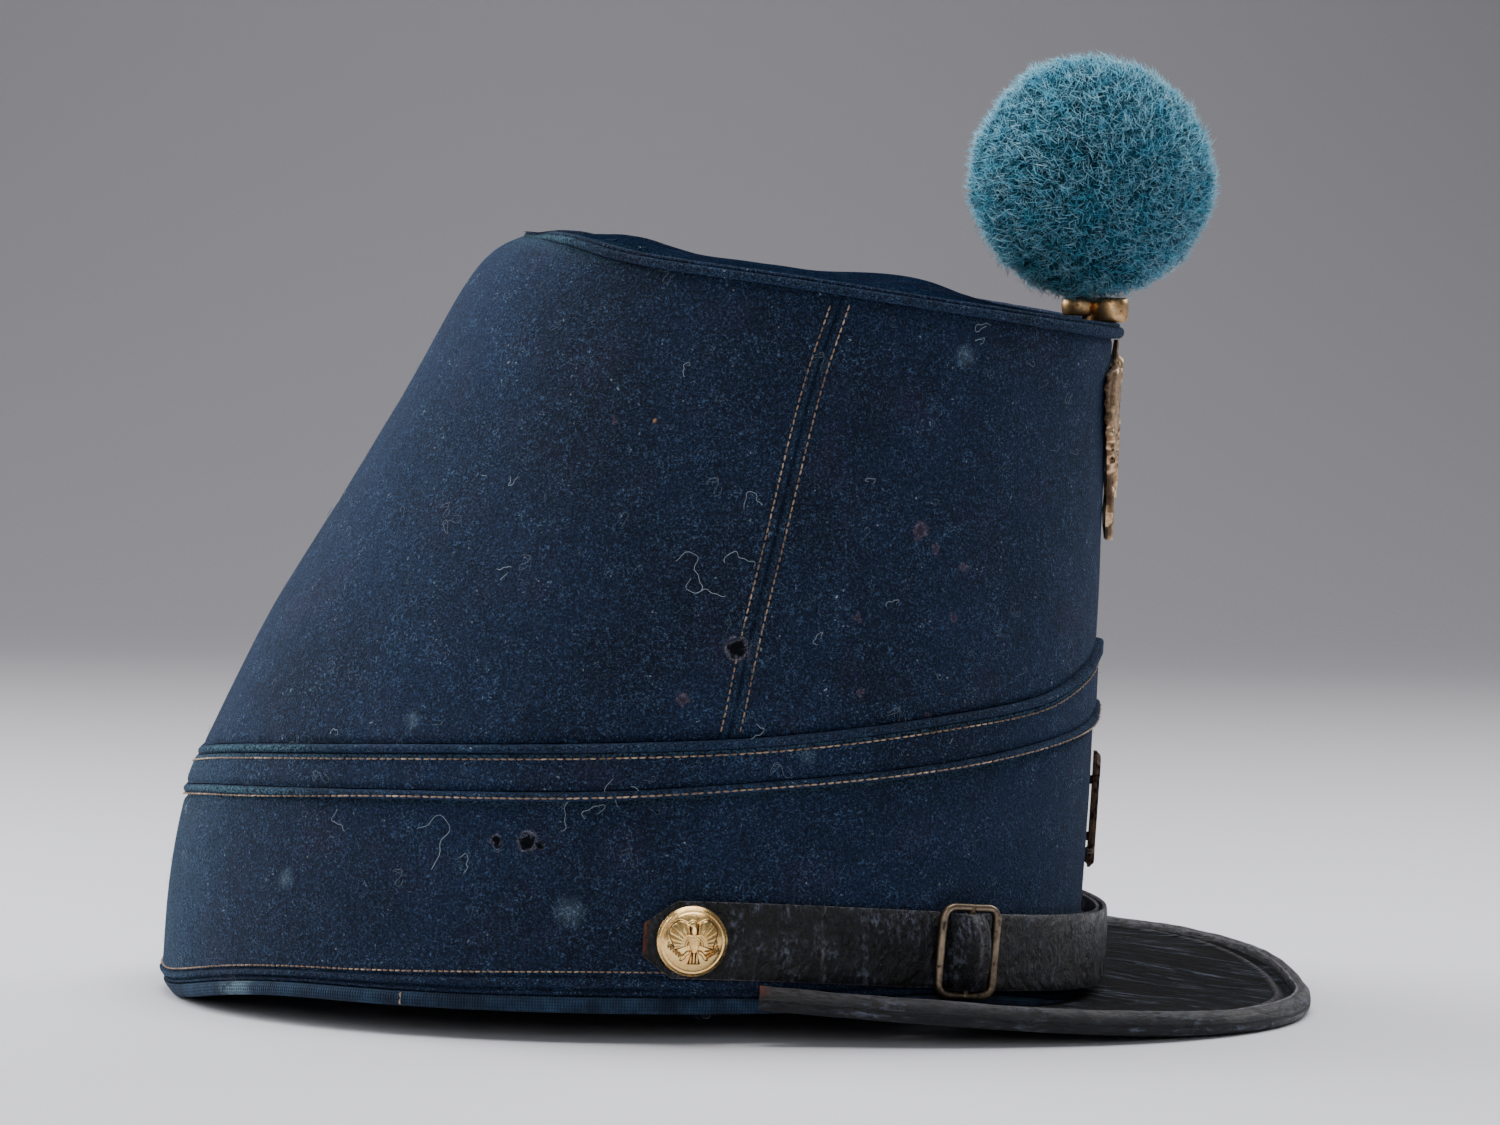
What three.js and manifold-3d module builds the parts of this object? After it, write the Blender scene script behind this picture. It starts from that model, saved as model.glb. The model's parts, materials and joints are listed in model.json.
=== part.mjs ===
// A cloth-covered military shako with a leather peak, a buckled chin strap, brass fittings and a
// wool pompom. Millimetres, +Z up, +X is the front of the hat and +Y its left side. It stands on
// Z = 0, on the back of its rim and the front of its peak.
import * as THREE from "three";
import { mergeVertices } from "three/addons/utils/BufferGeometryUtils.js";
import Module from "manifold-3d";

const wasm = await Module();
wasm.setup();

// Body: outside sizes of the cloth, and how thick its stiff wall is.
const BASE_LENGTH = 204;
const BASE_WIDTH = 166;
const SIDE_LIFT = 6.2; // height of the rim over the table at the sides
const TOP_LENGTH = 137;
const TOP_WIDTH = 120;
const TOP_LEAN = 5.3; // how far the top edge stands ahead of the base in front
const FRONT_HEIGHT = 150;
const BACK_HEIGHT = 170;
const WALL = 2.5;
const GAP = 0.3; // between one piece and the next
const SEAM_TURN = 81; // degrees from the front to each side seam
const TURN_STEPS = 48; // facets round the body

// How the wall climbs. up is a share of the height, the rest are shares of the way from the base
// outline to the top outline at the back, the sides and the front.
const PROFILE = [
  { up: 0, back: 0, side: 0, front: 0 },
  { up: 0.13, back: 0.02, side: 0.03, front: 0.12 },
  { up: 0.27, back: 0.08, side: 0.1, front: 0.33 },
  { up: 0.36, back: 0.17, side: 0.2, front: 0.45 },
  { up: 0.5, back: 0.33, side: 0.37, front: 0.58 },
  { up: 0.65, back: 0.54, side: 0.57, front: 0.7 },
  { up: 0.8, back: 0.745, side: 0.77, front: 0.8 },
  { up: 0.92, back: 0.895, side: 0.91, front: 0.92 },
  { up: 1, back: 1, side: 1, front: 1 },
];

// Two corded welts cross the body. turn is in degrees from the front, upper and lower are shares
// of the way from each welt's height at the back to its height in front.
const UPPER_WELT_FRONT = 80.4;
const UPPER_WELT_BACK = 52.7;
const LOWER_WELT_FRONT = 66.8;
const LOWER_WELT_BACK = 44.4;
const WELT_COURSE = [
  { turn: 0, upper: 1, lower: 1 },
  { turn: 8, upper: 0.9, lower: 0.87 },
  { turn: 18, upper: 0.78, lower: 0.79 },
  { turn: 30, upper: 0.64, lower: 0.71 },
  { turn: 50, upper: 0.53, lower: 0.57 },
  { turn: 75, upper: 0.39, lower: 0.43 },
  { turn: 95, upper: 0.33, lower: 0.33 },
  { turn: 122, upper: 0.265, lower: 0.27 },
  { turn: 155, upper: 0.14, lower: 0.145 },
  { turn: 180, upper: 0, lower: 0 },
];
const WELT_HEIGHT = 2.1;
const WELT_REACH = 1.9; // how far a welt stands out of the wall
const TOP_WELT_HEIGHT = 2.6;
const TOP_WELT_REACH = 1.5;
const TOP_WELT_DEPTH = 1.2; // how far the top welt reaches in over the wall

// Crown tip: the cloth disc in the top, and the hump that it has sagged into.
const TIP_THICKNESS = 2;
const TIP_HUMP = 3.5;
const TIP_HUMP_AT = 62; // ahead of the middle of the base
const TIP_HUMP_SPREAD = 16;

// Base binding: ribbed cloth folded round the rim.
const BINDING_THICKNESS = 1;
const BINDING_HEIGHT = 6.5;
const BINDING_FRONT_HEIGHT = 2.5; // where the peak covers it
const BINDING_INSIDE = 5;

// Peak: a leather crescent with a rolled edge.
const PEAK_REACH = 154; // from the middle of the base to the tip
const PEAK_START = 31.4; // from the middle of the base to the corners
const PEAK_MARGIN = 6.6; // how far the corners' rolled edge stands out of the band
const PEAK_LIFT = 7.7; // height of the corners' underside
const PEAK_TWIST = 4.5; // how far the left edge has curled up
const PEAK_THICKNESS = 2.2;
const ROLL_HEIGHT = 5.3;
const ROLL_WIDTH = 4;
const PEAK_SQUARENESS = 2.5; // exponent of its outline, 2 is an ellipse

// Chin strap, in two lengths that meet in the buckle on the right side.
const STRAP_HEIGHT = 16.4;
const OUTER_STRAP_THICKNESS = 1.5;
const INNER_STRAP_THICKNESS = 1.2;
const STRAP_SIDE_CENTRE = 22; // height of its middle at the buttons
const STRAP_FRONT_CENTRE = 13.6;
const STRAP_BOW = 3; // how far it stands off the cloth in front
const STRAP_BOW_TURN = 60; // degrees each side over which it does so
const STRAP_OVERHANG = 10; // past each button
const STRAP_FREE_TURN = 56; // degrees round the left side where the outer length ends
const BUCKLE_TURN = 44.5;
const BUCKLE_WIDTH = 14.4;
const BUCKLE_HEIGHT = 20.6;
const BUCKLE_WIRE = 1.7;
const BUCKLE_BAR = 1.5;
const BUCKLE_LEAN = 0.04; // sideways travel for each millimetre of height

// Side buttons: domed, with a raised eagle and shield.
const BUTTON_DIAMETER = 15;
const BUTTON_DOME = 3.4;
const BUTTON_EDGE = 1.2;
const BUTTON_TURN = 81;
const SHANK_DIAMETER = 2.8;
const BUTTON_RELIEF = 0.5;

// Front fittings: a stamped eagle plate and, under it, a plain numeral.
const PLATE_HEIGHT = 44.4;
const PLATE_WIDTH = 32;
const PLATE_DROP = 2.3; // from the top edge down to its upper end
const PLATE_THICKNESS = 0.9;
const PLATE_RELIEF = 1.3;
const NUMERAL_HEIGHT = 25.3;
const NUMERAL_WIDTH = 12;
const NUMERAL_FOOT = 30.6;
const NUMERAL_THICKNESS = 1.5;
const FITTING_STANDOFF = 0.9;
const POST_DIAMETER = 2;

// Pompom and the brass seat that carries it.
const POMPOM_DIAMETER = 54.8;
const POMPOM_SINK = 1; // how far the seat presses into the pile
const POMPOM_SET_BACK = 6.2; // behind the front of the top edge
const TUFTS = 110;
const TUFT_DEPTH = 2.2;
const SEAT_HEIGHT = 5.4;
const SEAT_FRONT_BARREL = 8.4;
const SEAT_BACK_BARREL = 7.4;
const STEM_DIAMETER = 3;
const STEM_UP = 12;
const STEM_DOWN = 8;

const rad = THREE.MathUtils.degToRad;
const lerp = THREE.MathUtils.lerp;
const smoothstep = THREE.MathUtils.smoothstep;

// A smooth curve through one column of a table, against its key column.
function read(table, key, column, at) {
  const last = table.length - 1;
  const x = THREE.MathUtils.clamp(at, table[0][key], table[last][key]);
  let i = 0;
  while (i < last - 1 && x > table[i + 1][key]) i += 1;
  const slope = (k) => {
    const low = table[Math.max(k - 1, 0)];
    const high = table[Math.min(k + 1, last)];
    return (high[column] - low[column]) / (high[key] - low[key]);
  };
  const width = table[i + 1][key] - table[i][key];
  const t = (x - table[i][key]) / width;
  const start = table[i][column] * (1 + 2 * t) + t * width * slope(i);
  const end = table[i + 1][column] * (3 - 2 * t) - (1 - t) * width * slope(i + 1);
  return start * (1 - t) ** 2 + end * t ** 2;
}

// Heights of the body's edges at a turn in radians from the front.
const degrees = THREE.MathUtils.radToDeg;
const degreesFromFront = (turn) => Math.abs(degrees(Math.atan2(Math.sin(turn), Math.cos(turn))));
const rim = (turn) => SIDE_LIFT * smoothstep(Math.abs(Math.sin(turn)), 0.18, 0.8);
const topEdge = (turn) => lerp(BACK_HEIGHT, FRONT_HEIGHT, (1 + Math.cos(turn)) / 2);

function upperWelt(turn) {
  return lerp(UPPER_WELT_BACK, UPPER_WELT_FRONT, read(WELT_COURSE, "turn", "upper", degreesFromFront(turn)));
}

function lowerWelt(turn) {
  return lerp(LOWER_WELT_BACK, LOWER_WELT_FRONT, read(WELT_COURSE, "turn", "lower", degreesFromFront(turn)));
}

// Middle and half sizes of the body's outline at a share of its height.
function outline(up) {
  const at = (column) => read(PROFILE, "up", column, up);
  const topFront = BASE_LENGTH / 2 + TOP_LEAN;
  const front = lerp(BASE_LENGTH / 2, topFront, at("front"));
  const back = lerp(-BASE_LENGTH / 2, topFront - TOP_LENGTH, at("back"));
  return {
    middle: (front + back) / 2,
    length: (front - back) / 2,
    width: lerp(BASE_WIDTH, TOP_WIDTH, at("side")) / 2,
  };
}

// A point on the body at a turn and a height, moved level outwards by out.
function skin(turn, height, out) {
  const foot = rim(turn);
  const o = outline((height - foot) / (topEdge(turn) - foot));
  const normal = new THREE.Vector2(Math.cos(turn) / o.length, Math.sin(turn) / o.width).normalize();
  return new THREE.Vector3(
    o.middle + o.length * Math.cos(turn) + out * normal.x,
    o.width * Math.sin(turn) + out * normal.y,
    height,
  );
}

// A closed geometry from points and triangles, turned so that its faces point out.
function closedGeometry(points, triangles) {
  let volume = 0;
  for (let k = 0; k < triangles.length; k += 3) {
    const [a, b, c] = [0, 1, 2].map((j) => points[triangles[k + j]]);
    volume += a.dot(b.clone().cross(c));
  }
  const index = volume < 0 ? [...triangles].reverse() : triangles;
  const geometry = new THREE.BufferGeometry().setFromPoints(points);
  geometry.setIndex(index);
  geometry.computeVertexNormals();
  return geometry;
}

// A closed skin over stations, each a ladder of matched outer and inner points. A closed run joins
// its last station to its first, and an open one is capped at both ends.
function shell(stations, closed) {
  const rows = stations[0].outer.length;
  const loop = 2 * rows;
  const points = stations.flatMap((s) => [...s.outer, ...[...s.inner].reverse()]);
  const triangles = [];
  const quad = (a, b, c, d) => triangles.push(a, b, c, a, c, d);
  const runs = closed ? stations.length : stations.length - 1;
  for (let s = 0; s < runs; s += 1) {
    const here = s * loop;
    const next = ((s + 1) % stations.length) * loop;
    for (let k = 0; k < loop; k += 1) {
      const l = (k + 1) % loop;
      quad(here + k, next + k, next + l, here + l);
    }
  }
  if (!closed) {
    const last = (stations.length - 1) * loop;
    for (let r = 0; r < rows - 1; r += 1) {
      const back = loop - 1 - r;
      quad(r, r + 1, back - 1, back);
      quad(last + back, last + back - 1, last + r + 1, last + r);
    }
  }
  return closedGeometry(points, triangles);
}

// Stations round the body, all the way or between two turns.
function around(station, from, to, steps) {
  const closed = from === undefined;
  const count = closed ? TURN_STEPS : steps + 1;
  const turnAt = (k) => (closed ? (2 * Math.PI * k) / TURN_STEPS : lerp(from, to, k / steps));
  return shell(Array.from({ length: count }, (_, k) => station(turnAt(k))), closed);
}

// Joins and cuts.
function solid(geometry) {
  const bare = geometry.clone();
  bare.deleteAttribute("normal");
  bare.deleteAttribute("uv");
  const merged = mergeVertices(bare, 1e-4);
  const vertProperties = merged.attributes.position.array;
  const triVerts = new Uint32Array(merged.index.array);
  return new wasm.Manifold(new wasm.Mesh({ numProp: 3, vertProperties, triVerts }));
}

function geometryOf(made) {
  const mesh = made.getMesh();
  const geometry = new THREE.BufferGeometry();
  geometry.setAttribute("position", new THREE.BufferAttribute(mesh.vertProperties, 3));
  geometry.setIndex(new THREE.BufferAttribute(mesh.triVerts, 1));
  geometry.computeVertexNormals();
  return geometry;
}

function joined(...geometries) {
  return geometryOf(geometries.map(solid).reduce((a, b) => a.add(b)));
}

function cut(geometry, ...tools) {
  return geometryOf(tools.map(solid).reduce((a, b) => a.subtract(b), solid(geometry)));
}

// A round pin along Z between two heights.
function pin(diameter, from, to, sides = 12) {
  const g = new THREE.CylinderGeometry(diameter / 2, diameter / 2, to - from, sides);
  return g.rotateX(Math.PI / 2).translate(0, 0, (from + to) / 2);
}

// A frame lying on the body: x along the turn, y up, z straight out.
function frameOn(turn, height, out = 0) {
  const step = 0.01;
  const at = skin(turn, height, out);
  const along = skin(turn + step, height, out).sub(skin(turn - step, height, out)).normalize();
  const outward = new THREE.Vector3(along.y, -along.x, 0).normalize();
  const up = new THREE.Vector3().crossVectors(outward, along);
  return new THREE.Matrix4().makeBasis(along, up, outward).setPosition(at);
}

function material(color, roughness, metalness) {
  return new THREE.MeshStandardMaterial({ color, roughness, metalness });
}

const navyCloth = () => material(0x1d2a3c, 0.95, 0);
const blackLeather = () => material(0x26252b, 0.45, 0);
const brass = () => material(0xc09a63, 0.35, 1);
const dullBrass = () => material(0x6b5638, 0.55, 1);

const hat = new THREE.Group();

function addPiece(name, geometry, look) {
  const mesh = new THREE.Mesh(geometry, look);
  mesh.name = name;
  hat.add(mesh);
}

// A wall of the body between two height functions, in so many rows.
function wallStation(low, high, rows) {
  return (turn) => {
    const heights = Array.from({ length: rows }, (_, r) => lerp(low(turn), high(turn), r / (rows - 1)));
    return {
      outer: heights.map((h) => skin(turn, h, 0)),
      inner: heights.map((h) => skin(turn, h, -WALL)),
    };
  };
}

// A corded welt that runs right through the wall and stands out of it in a bead.
function weltStation(course, height, reach, depth) {
  const rows = [-1, 0, 1];
  return (turn) => {
    const at = (row, out) => skin(turn, course(turn), out).setZ(course(turn) + (row * height) / 2);
    return {
      outer: rows.map((r) => at(r, r === 0 ? reach : 0.3 * reach)),
      inner: rows.map((r) => at(r, -depth)),
    };
  };
}

const clearOf = (course, side, height) => (turn) => course(turn) + side * (height / 2 + GAP);

function body() {
  const seam = rad(SEAM_TURN);
  const seamGap = GAP / TOP_WIDTH;
  const crown = wallStation(clearOf(upperWelt, 1, WELT_HEIGHT), clearOf(topEdge, -1, TOP_WELT_HEIGHT), 7);
  const frontSteps = Math.round((TURN_STEPS * SEAM_TURN) / 180);
  addPiece("crown_front", around(crown, -seam + seamGap, seam - seamGap, frontSteps), navyCloth());
  const backSteps = TURN_STEPS - frontSteps;
  addPiece("crown_back", around(crown, seam + seamGap, 2 * Math.PI - seam - seamGap, backSteps), navyCloth());
  const strip = wallStation(clearOf(lowerWelt, 1, WELT_HEIGHT), clearOf(upperWelt, -1, WELT_HEIGHT), 2);
  addPiece("band_strip", around(strip), navyCloth());
  const bandFoot = (turn) => rim(turn) + BINDING_THICKNESS + GAP;
  const band = wallStation(bandFoot, clearOf(lowerWelt, -1, WELT_HEIGHT), 4);
  addPiece("head_band", around(band), navyCloth());
  addPiece("band_upper_welt", around(weltStation(upperWelt, WELT_HEIGHT, WELT_REACH, WALL)), navyCloth());
  addPiece("band_lower_welt", around(weltStation(lowerWelt, WELT_HEIGHT, WELT_REACH, WALL)), navyCloth());
  const edge = weltStation(topEdge, TOP_WELT_HEIGHT, TOP_WELT_REACH, TOP_WELT_DEPTH);
  addPiece("top_welt", around(edge), navyCloth());
}

function baseBinding() {
  const inside = -WALL - GAP;
  const station = (turn) => {
    const at = (out, up) => skin(turn, rim(turn) + up, out);
    const behindPeak = smoothstep(degreesFromFront(turn), 62, 78);
    const outside = lerp(BINDING_FRONT_HEIGHT, BINDING_HEIGHT, behindPeak);
    return {
      outer: [
        at(GAP + BINDING_THICKNESS, outside),
        at(GAP + BINDING_THICKNESS, 0),
        at(inside - BINDING_THICKNESS, 0),
        at(inside - BINDING_THICKNESS, BINDING_INSIDE),
      ],
      inner: [
        at(GAP, outside),
        at(GAP, BINDING_THICKNESS),
        at(inside, BINDING_THICKNESS),
        at(inside, BINDING_INSIDE),
      ],
    };
  };
  addPiece("base_binding", around(station), navyCloth());
}

// The level at which the top edge's tilted plane lies, a distance ahead of the base's middle.
function topPlane(x) {
  const o = outline(1);
  return lerp(BACK_HEIGHT, FRONT_HEIGHT, (x - o.middle + o.length) / (2 * o.length));
}

const stemX = () => BASE_LENGTH / 2 + TOP_LEAN - POMPOM_SET_BACK;

function crownTip() {
  const rings = 5;
  const o = outline(1);
  const rise = (x) => TIP_HUMP * Math.exp(-(((x - TIP_HUMP_AT) / TIP_HUMP_SPREAD) ** 2));
  const points = [];
  const triangles = [];
  const ring = (share, side, k) => {
    const edge = skin((2 * Math.PI * k) / TURN_STEPS, BACK_HEIGHT, -TOP_WELT_DEPTH - GAP);
    const x = lerp(o.middle, edge.x, share);
    const y = lerp(0, edge.y, share);
    const surface = topPlane(x) + rise(x) * (1 - share ** 2);
    return new THREE.Vector3(x, y, surface + (side * TIP_THICKNESS) / 2 - TIP_THICKNESS / 10);
  };
  for (const side of [1, -1]) {
    const start = points.length;
    points.push(ring(0, side, 0));
    for (let r = 1; r <= rings; r += 1) {
      for (let k = 0; k < TURN_STEPS; k += 1) points.push(ring(r / rings, side, k));
    }
    for (let r = 0; r < rings; r += 1) {
      for (let k = 0; k < TURN_STEPS; k += 1) {
        const l = (k + 1) % TURN_STEPS;
        const inner = start + 1 + (r - 1) * TURN_STEPS;
        const outer = inner + TURN_STEPS;
        const face = r === 0 ? [start, outer + k, outer + l] : [inner + k, outer + k, outer + l, inner + l];
        if (side < 0) face.reverse();
        triangles.push(face[0], face[1], face[2]);
        if (r > 0) triangles.push(face[0], face[2], face[3]);
      }
    }
  }
  const top = 1 + (rings - 1) * TURN_STEPS;
  const bottom = top + points.length / 2;
  for (let k = 0; k < TURN_STEPS; k += 1) {
    const l = (k + 1) % TURN_STEPS;
    triangles.push(top + k, bottom + k, bottom + l, top + k, bottom + l, top + l);
  }
  const hole = pin(STEM_DIAMETER + 2 * GAP, FRONT_HEIGHT - STEM_DOWN, FRONT_HEIGHT + STEM_UP);
  hole.translate(stemX(), 0, 0);
  addPiece("crown_tip", cut(closedGeometry(points, triangles), hole), navyCloth());
}

const cornerTurn = Math.acos(PEAK_START / (BASE_LENGTH / 2));
const peakHalfWidth = skin(cornerTurn, PEAK_LIFT, 0).y + PEAK_MARGIN;

// The peak's outer edge at an angle from its tip, moved in by a margin, and its underside's height.
function peakEdge(angle, inset) {
  const bend = (v) => Math.sign(v) * Math.abs(v) ** (2 / PEAK_SQUARENESS);
  const reach = PEAK_REACH - PEAK_START - inset;
  const half = peakHalfWidth - inset;
  return new THREE.Vector2(PEAK_START + reach * bend(Math.cos(angle)), half * bend(Math.sin(angle)));
}

function peakUnderside(x, y) {
  const ahead = (x - PEAK_START) / (PEAK_REACH - PEAK_START);
  const slope = Math.max(0, 1 - ahead / 0.92) ** 1.1;
  const across = y / peakHalfWidth;
  const curl = PEAK_TWIST * smoothstep(across, 0, 0.75) * smoothstep(ahead, 0, 0.5);
  return PEAK_LIFT * slope * (0.35 + 0.65 * across ** 2) + curl;
}

function peakStation(share) {
  const angle = lerp(-Math.PI / 2, Math.PI / 2, share);
  const turn = lerp(-cornerTurn, cornerTurn, share);
  const from = skin(turn, PEAK_LIFT, 2 * GAP + BINDING_THICKNESS);
  const to = peakEdge(angle, ROLL_WIDTH + GAP);
  const rows = Array.from({ length: 5 }, (_, r) => r / 4);
  const at = (row, side) => {
    const x = lerp(from.x, to.x, row);
    const y = lerp(from.y, to.y, row);
    const bed = peakUnderside(x, y) + (row * (ROLL_HEIGHT - PEAK_THICKNESS)) / 2;
    return new THREE.Vector3(x, y, bed + side * PEAK_THICKNESS);
  };
  return { outer: rows.map((r) => at(r, 1)), inner: rows.map((r) => at(r, 0)) };
}

function peak() {
  const steps = 28;
  const cut = 0.012; // share of the sweep at each end that only the roll covers
  const leather = Array.from({ length: steps + 1 }, (_, k) => peakStation(lerp(cut, 1 - cut, k / steps)));
  addPiece("peak", shell(leather, false), blackLeather());
  const ribs = [-0.9, -0.35, 0.35, 0.9];
  const rollStation = (k) => {
    const angle = lerp(-Math.PI / 2, Math.PI / 2, k / steps);
    const edge = peakEdge(angle, ROLL_WIDTH / 2);
    const level = peakUnderside(edge.x, edge.y);
    const at = (v, side) => {
      const bulge = side > 0 ? Math.sqrt(1 - v * v) : Math.sqrt(1 - v * v) * 0.9;
      const p = peakEdge(angle, ROLL_WIDTH / 2 - (side * bulge * ROLL_WIDTH) / 2);
      return new THREE.Vector3(p.x, p.y, level + (1 + v / 0.9) * (ROLL_HEIGHT / 2));
    };
    return { outer: ribs.map((v) => at(v, 1)), inner: ribs.map((v) => at(v, -1)) };
  };
  const roll = Array.from({ length: steps + 1 }, (_, k) => rollStation(k));
  addPiece("peak_binding", shell(roll, false), blackLeather());
}

// Arc length along the band at strap height, from the front, and the turn at a given length.
function strapCentre(turn) {
  const share = (Math.sin(turn) / Math.sin(rad(BUTTON_TURN))) ** 2;
  return lerp(STRAP_FRONT_CENTRE, STRAP_SIDE_CENTRE, share);
}

const ARC_STEP = rad(1);
const arcTable = (() => {
  const lengths = [0];
  for (let k = 1; k <= 130; k += 1) {
    const a = skin((k - 1) * ARC_STEP, STRAP_SIDE_CENTRE, 0);
    const b = skin(k * ARC_STEP, STRAP_SIDE_CENTRE, 0);
    lengths.push(lengths[k - 1] + a.distanceTo(b));
  }
  return lengths;
})();

function arcAt(turn) {
  const k = Math.min(Math.floor(Math.abs(turn) / ARC_STEP), arcTable.length - 2);
  const share = Math.abs(turn) / ARC_STEP - k;
  return Math.sign(turn) * lerp(arcTable[k], arcTable[k + 1], share);
}

function turnAt(arc) {
  let k = 0;
  while (k < arcTable.length - 2 && arcTable[k + 1] < Math.abs(arc)) k += 1;
  const share = (Math.abs(arc) - arcTable[k]) / (arcTable[k + 1] - arcTable[k]);
  return Math.sign(arc) * (k + share) * ARC_STEP;
}

// A point by arc length, height over the strap's middle, and distance out of the cloth.
function onBand(arc, up, out) {
  const turn = turnAt(arc);
  return skin(turn, strapCentre(turn) + up, out);
}

const strapLoose = (arc) => {
  const share = Math.min(1, Math.abs(turnAt(arc)) / rad(STRAP_BOW_TURN));
  return STRAP_BOW * Math.cos((share * Math.PI) / 2) ** 2;
};
const innerRest = GAP + INNER_STRAP_THICKNESS / 2;
const outerRest = GAP + OUTER_STRAP_THICKNESS / 2;
const innerOut = (arc) => innerRest + strapLoose(arc);
const stackedOut = (arc) => innerOut(arc) + INNER_STRAP_THICKNESS / 2 + GAP + OUTER_STRAP_THICKNESS / 2;

const buttonArc = arcAt(rad(BUTTON_TURN));
const buckleArc = -arcAt(rad(BUCKLE_TURN));
const wireSide = (BUCKLE_WIDTH - BUCKLE_WIRE) / 2;
const wireLift = GAP + BUCKLE_WIRE / 2;
const backWireOut = outerRest + OUTER_STRAP_THICKNESS / 2 + wireLift;
const frontWireOut = stackedOut(buckleArc + wireSide) + OUTER_STRAP_THICKNESS / 2 + wireLift;
const barOut = (backWireOut + frontWireOut) / 2;

// A strap along a path of arc and out, with its two ends cut to blunt points.
function strap(path, thickness, taperStart, taperEnd) {
  const blunt = STRAP_HEIGHT / 2.6;
  const stations = path.map((p, k) => {
    const before = path[Math.max(k - 1, 0)];
    const after = path[Math.min(k + 1, path.length - 1)];
    const fromStart = taperStart ? Math.abs(p.arc - path[0].arc) / blunt : 1;
    const fromEnd = taperEnd ? Math.abs(p.arc - path[path.length - 1].arc) / blunt : 1;
    const half = (STRAP_HEIGHT / 2) * Math.min(1, 0.42 + 0.58 * Math.min(fromStart, fromEnd));
    const at = (up, side) => {
      const run = onBand(after.arc, up, after.out).sub(onBand(before.arc, up, before.out));
      const outward = new THREE.Vector3(run.y, -run.x, 0).normalize();
      return onBand(p.arc, up, p.out).addScaledVector(outward, (side * thickness) / 2);
    };
    return { outer: [at(-half, 1), at(half, 1)], inner: [at(-half, -1), at(half, -1)] };
  });
  return shell(stations, false);
}

// The points of a path that runs from one arc to another in even steps.
function stretch(from, to, step, out) {
  const count = Math.max(1, Math.round(Math.abs(to - from) / step));
  return Array.from({ length: count + 1 }, (_, k) => {
    const arc = lerp(from, to, k / count);
    return { arc, out: out(arc) };
  });
}

function shankHole(arc) {
  const hole = pin(SHANK_DIAMETER + 2 * GAP, -WALL, BUTTON_DIAMETER);
  const turn = turnAt(arc);
  return hole.applyMatrix4(frameOn(turn, strapCentre(turn)));
}

function chinStrap() {
  const over = barOut + BUCKLE_BAR / 2 + 2 * GAP + OUTER_STRAP_THICKNESS / 2;
  const climb = wireSide - BUCKLE_WIRE / 2 - OUTER_STRAP_THICKNESS / 2 - GAP;
  const inStep = 6;
  const tip = -buttonArc - STRAP_OVERHANG;
  const outerPath = [
    ...stretch(tip, tip + STRAP_OVERHANG, 2, () => outerRest),
    ...stretch(-buttonArc + inStep, buckleArc - wireSide - BUCKLE_WIRE, inStep, () => outerRest),
    { arc: buckleArc - wireSide, out: outerRest },
    { arc: buckleArc - climb * 0.95, out: lerp(outerRest, over, 0.12) },
    { arc: buckleArc - climb * 0.7, out: lerp(outerRest, over, 0.75) },
    { arc: buckleArc - climb * 0.3, out: lerp(outerRest, over, 0.97) },
    { arc: buckleArc, out: over },
    { arc: buckleArc + climb * 0.35, out: lerp(stackedOut(buckleArc), over, 0.9) },
    { arc: buckleArc + climb * 0.75, out: lerp(stackedOut(buckleArc), over, 0.25) },
    ...stretch(buckleArc + wireSide - 1, arcAt(rad(STRAP_FREE_TURN)) - inStep, inStep, stackedOut),
    ...stretch(arcAt(rad(STRAP_FREE_TURN)) - 0.6 * inStep, arcAt(rad(STRAP_FREE_TURN)), 1.8, stackedOut),
  ];
  const outer = strap(outerPath, OUTER_STRAP_THICKNESS, true, true);
  addPiece("chin_strap_outer", cut(outer, shankHole(-buttonArc)), blackLeather());

  const turnRadius = BUCKLE_BAR / 2 + GAP + INNER_STRAP_THICKNESS / 2;
  const hookFoot = barOut - turnRadius;
  const hook = [-90, -118, -146, -174].map((degrees) => ({
    arc: buckleArc + turnRadius * Math.cos(rad(degrees)),
    out: barOut + turnRadius * Math.sin(rad(degrees)),
  }));
  const innerPath = [
    ...stretch(buttonArc + STRAP_OVERHANG, buttonArc, 2, () => innerRest),
    ...stretch(buttonArc - inStep, buckleArc + wireSide, inStep, innerOut),
    { arc: buckleArc + wireSide / 2, out: lerp(innerOut(buckleArc), hookFoot, 0.35) },
    ...hook,
  ];
  const inner = strap(innerPath, INNER_STRAP_THICKNESS, true, false);
  addPiece("chin_strap_inner", cut(inner, shankHole(buttonArc)), blackLeather());
}

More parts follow.
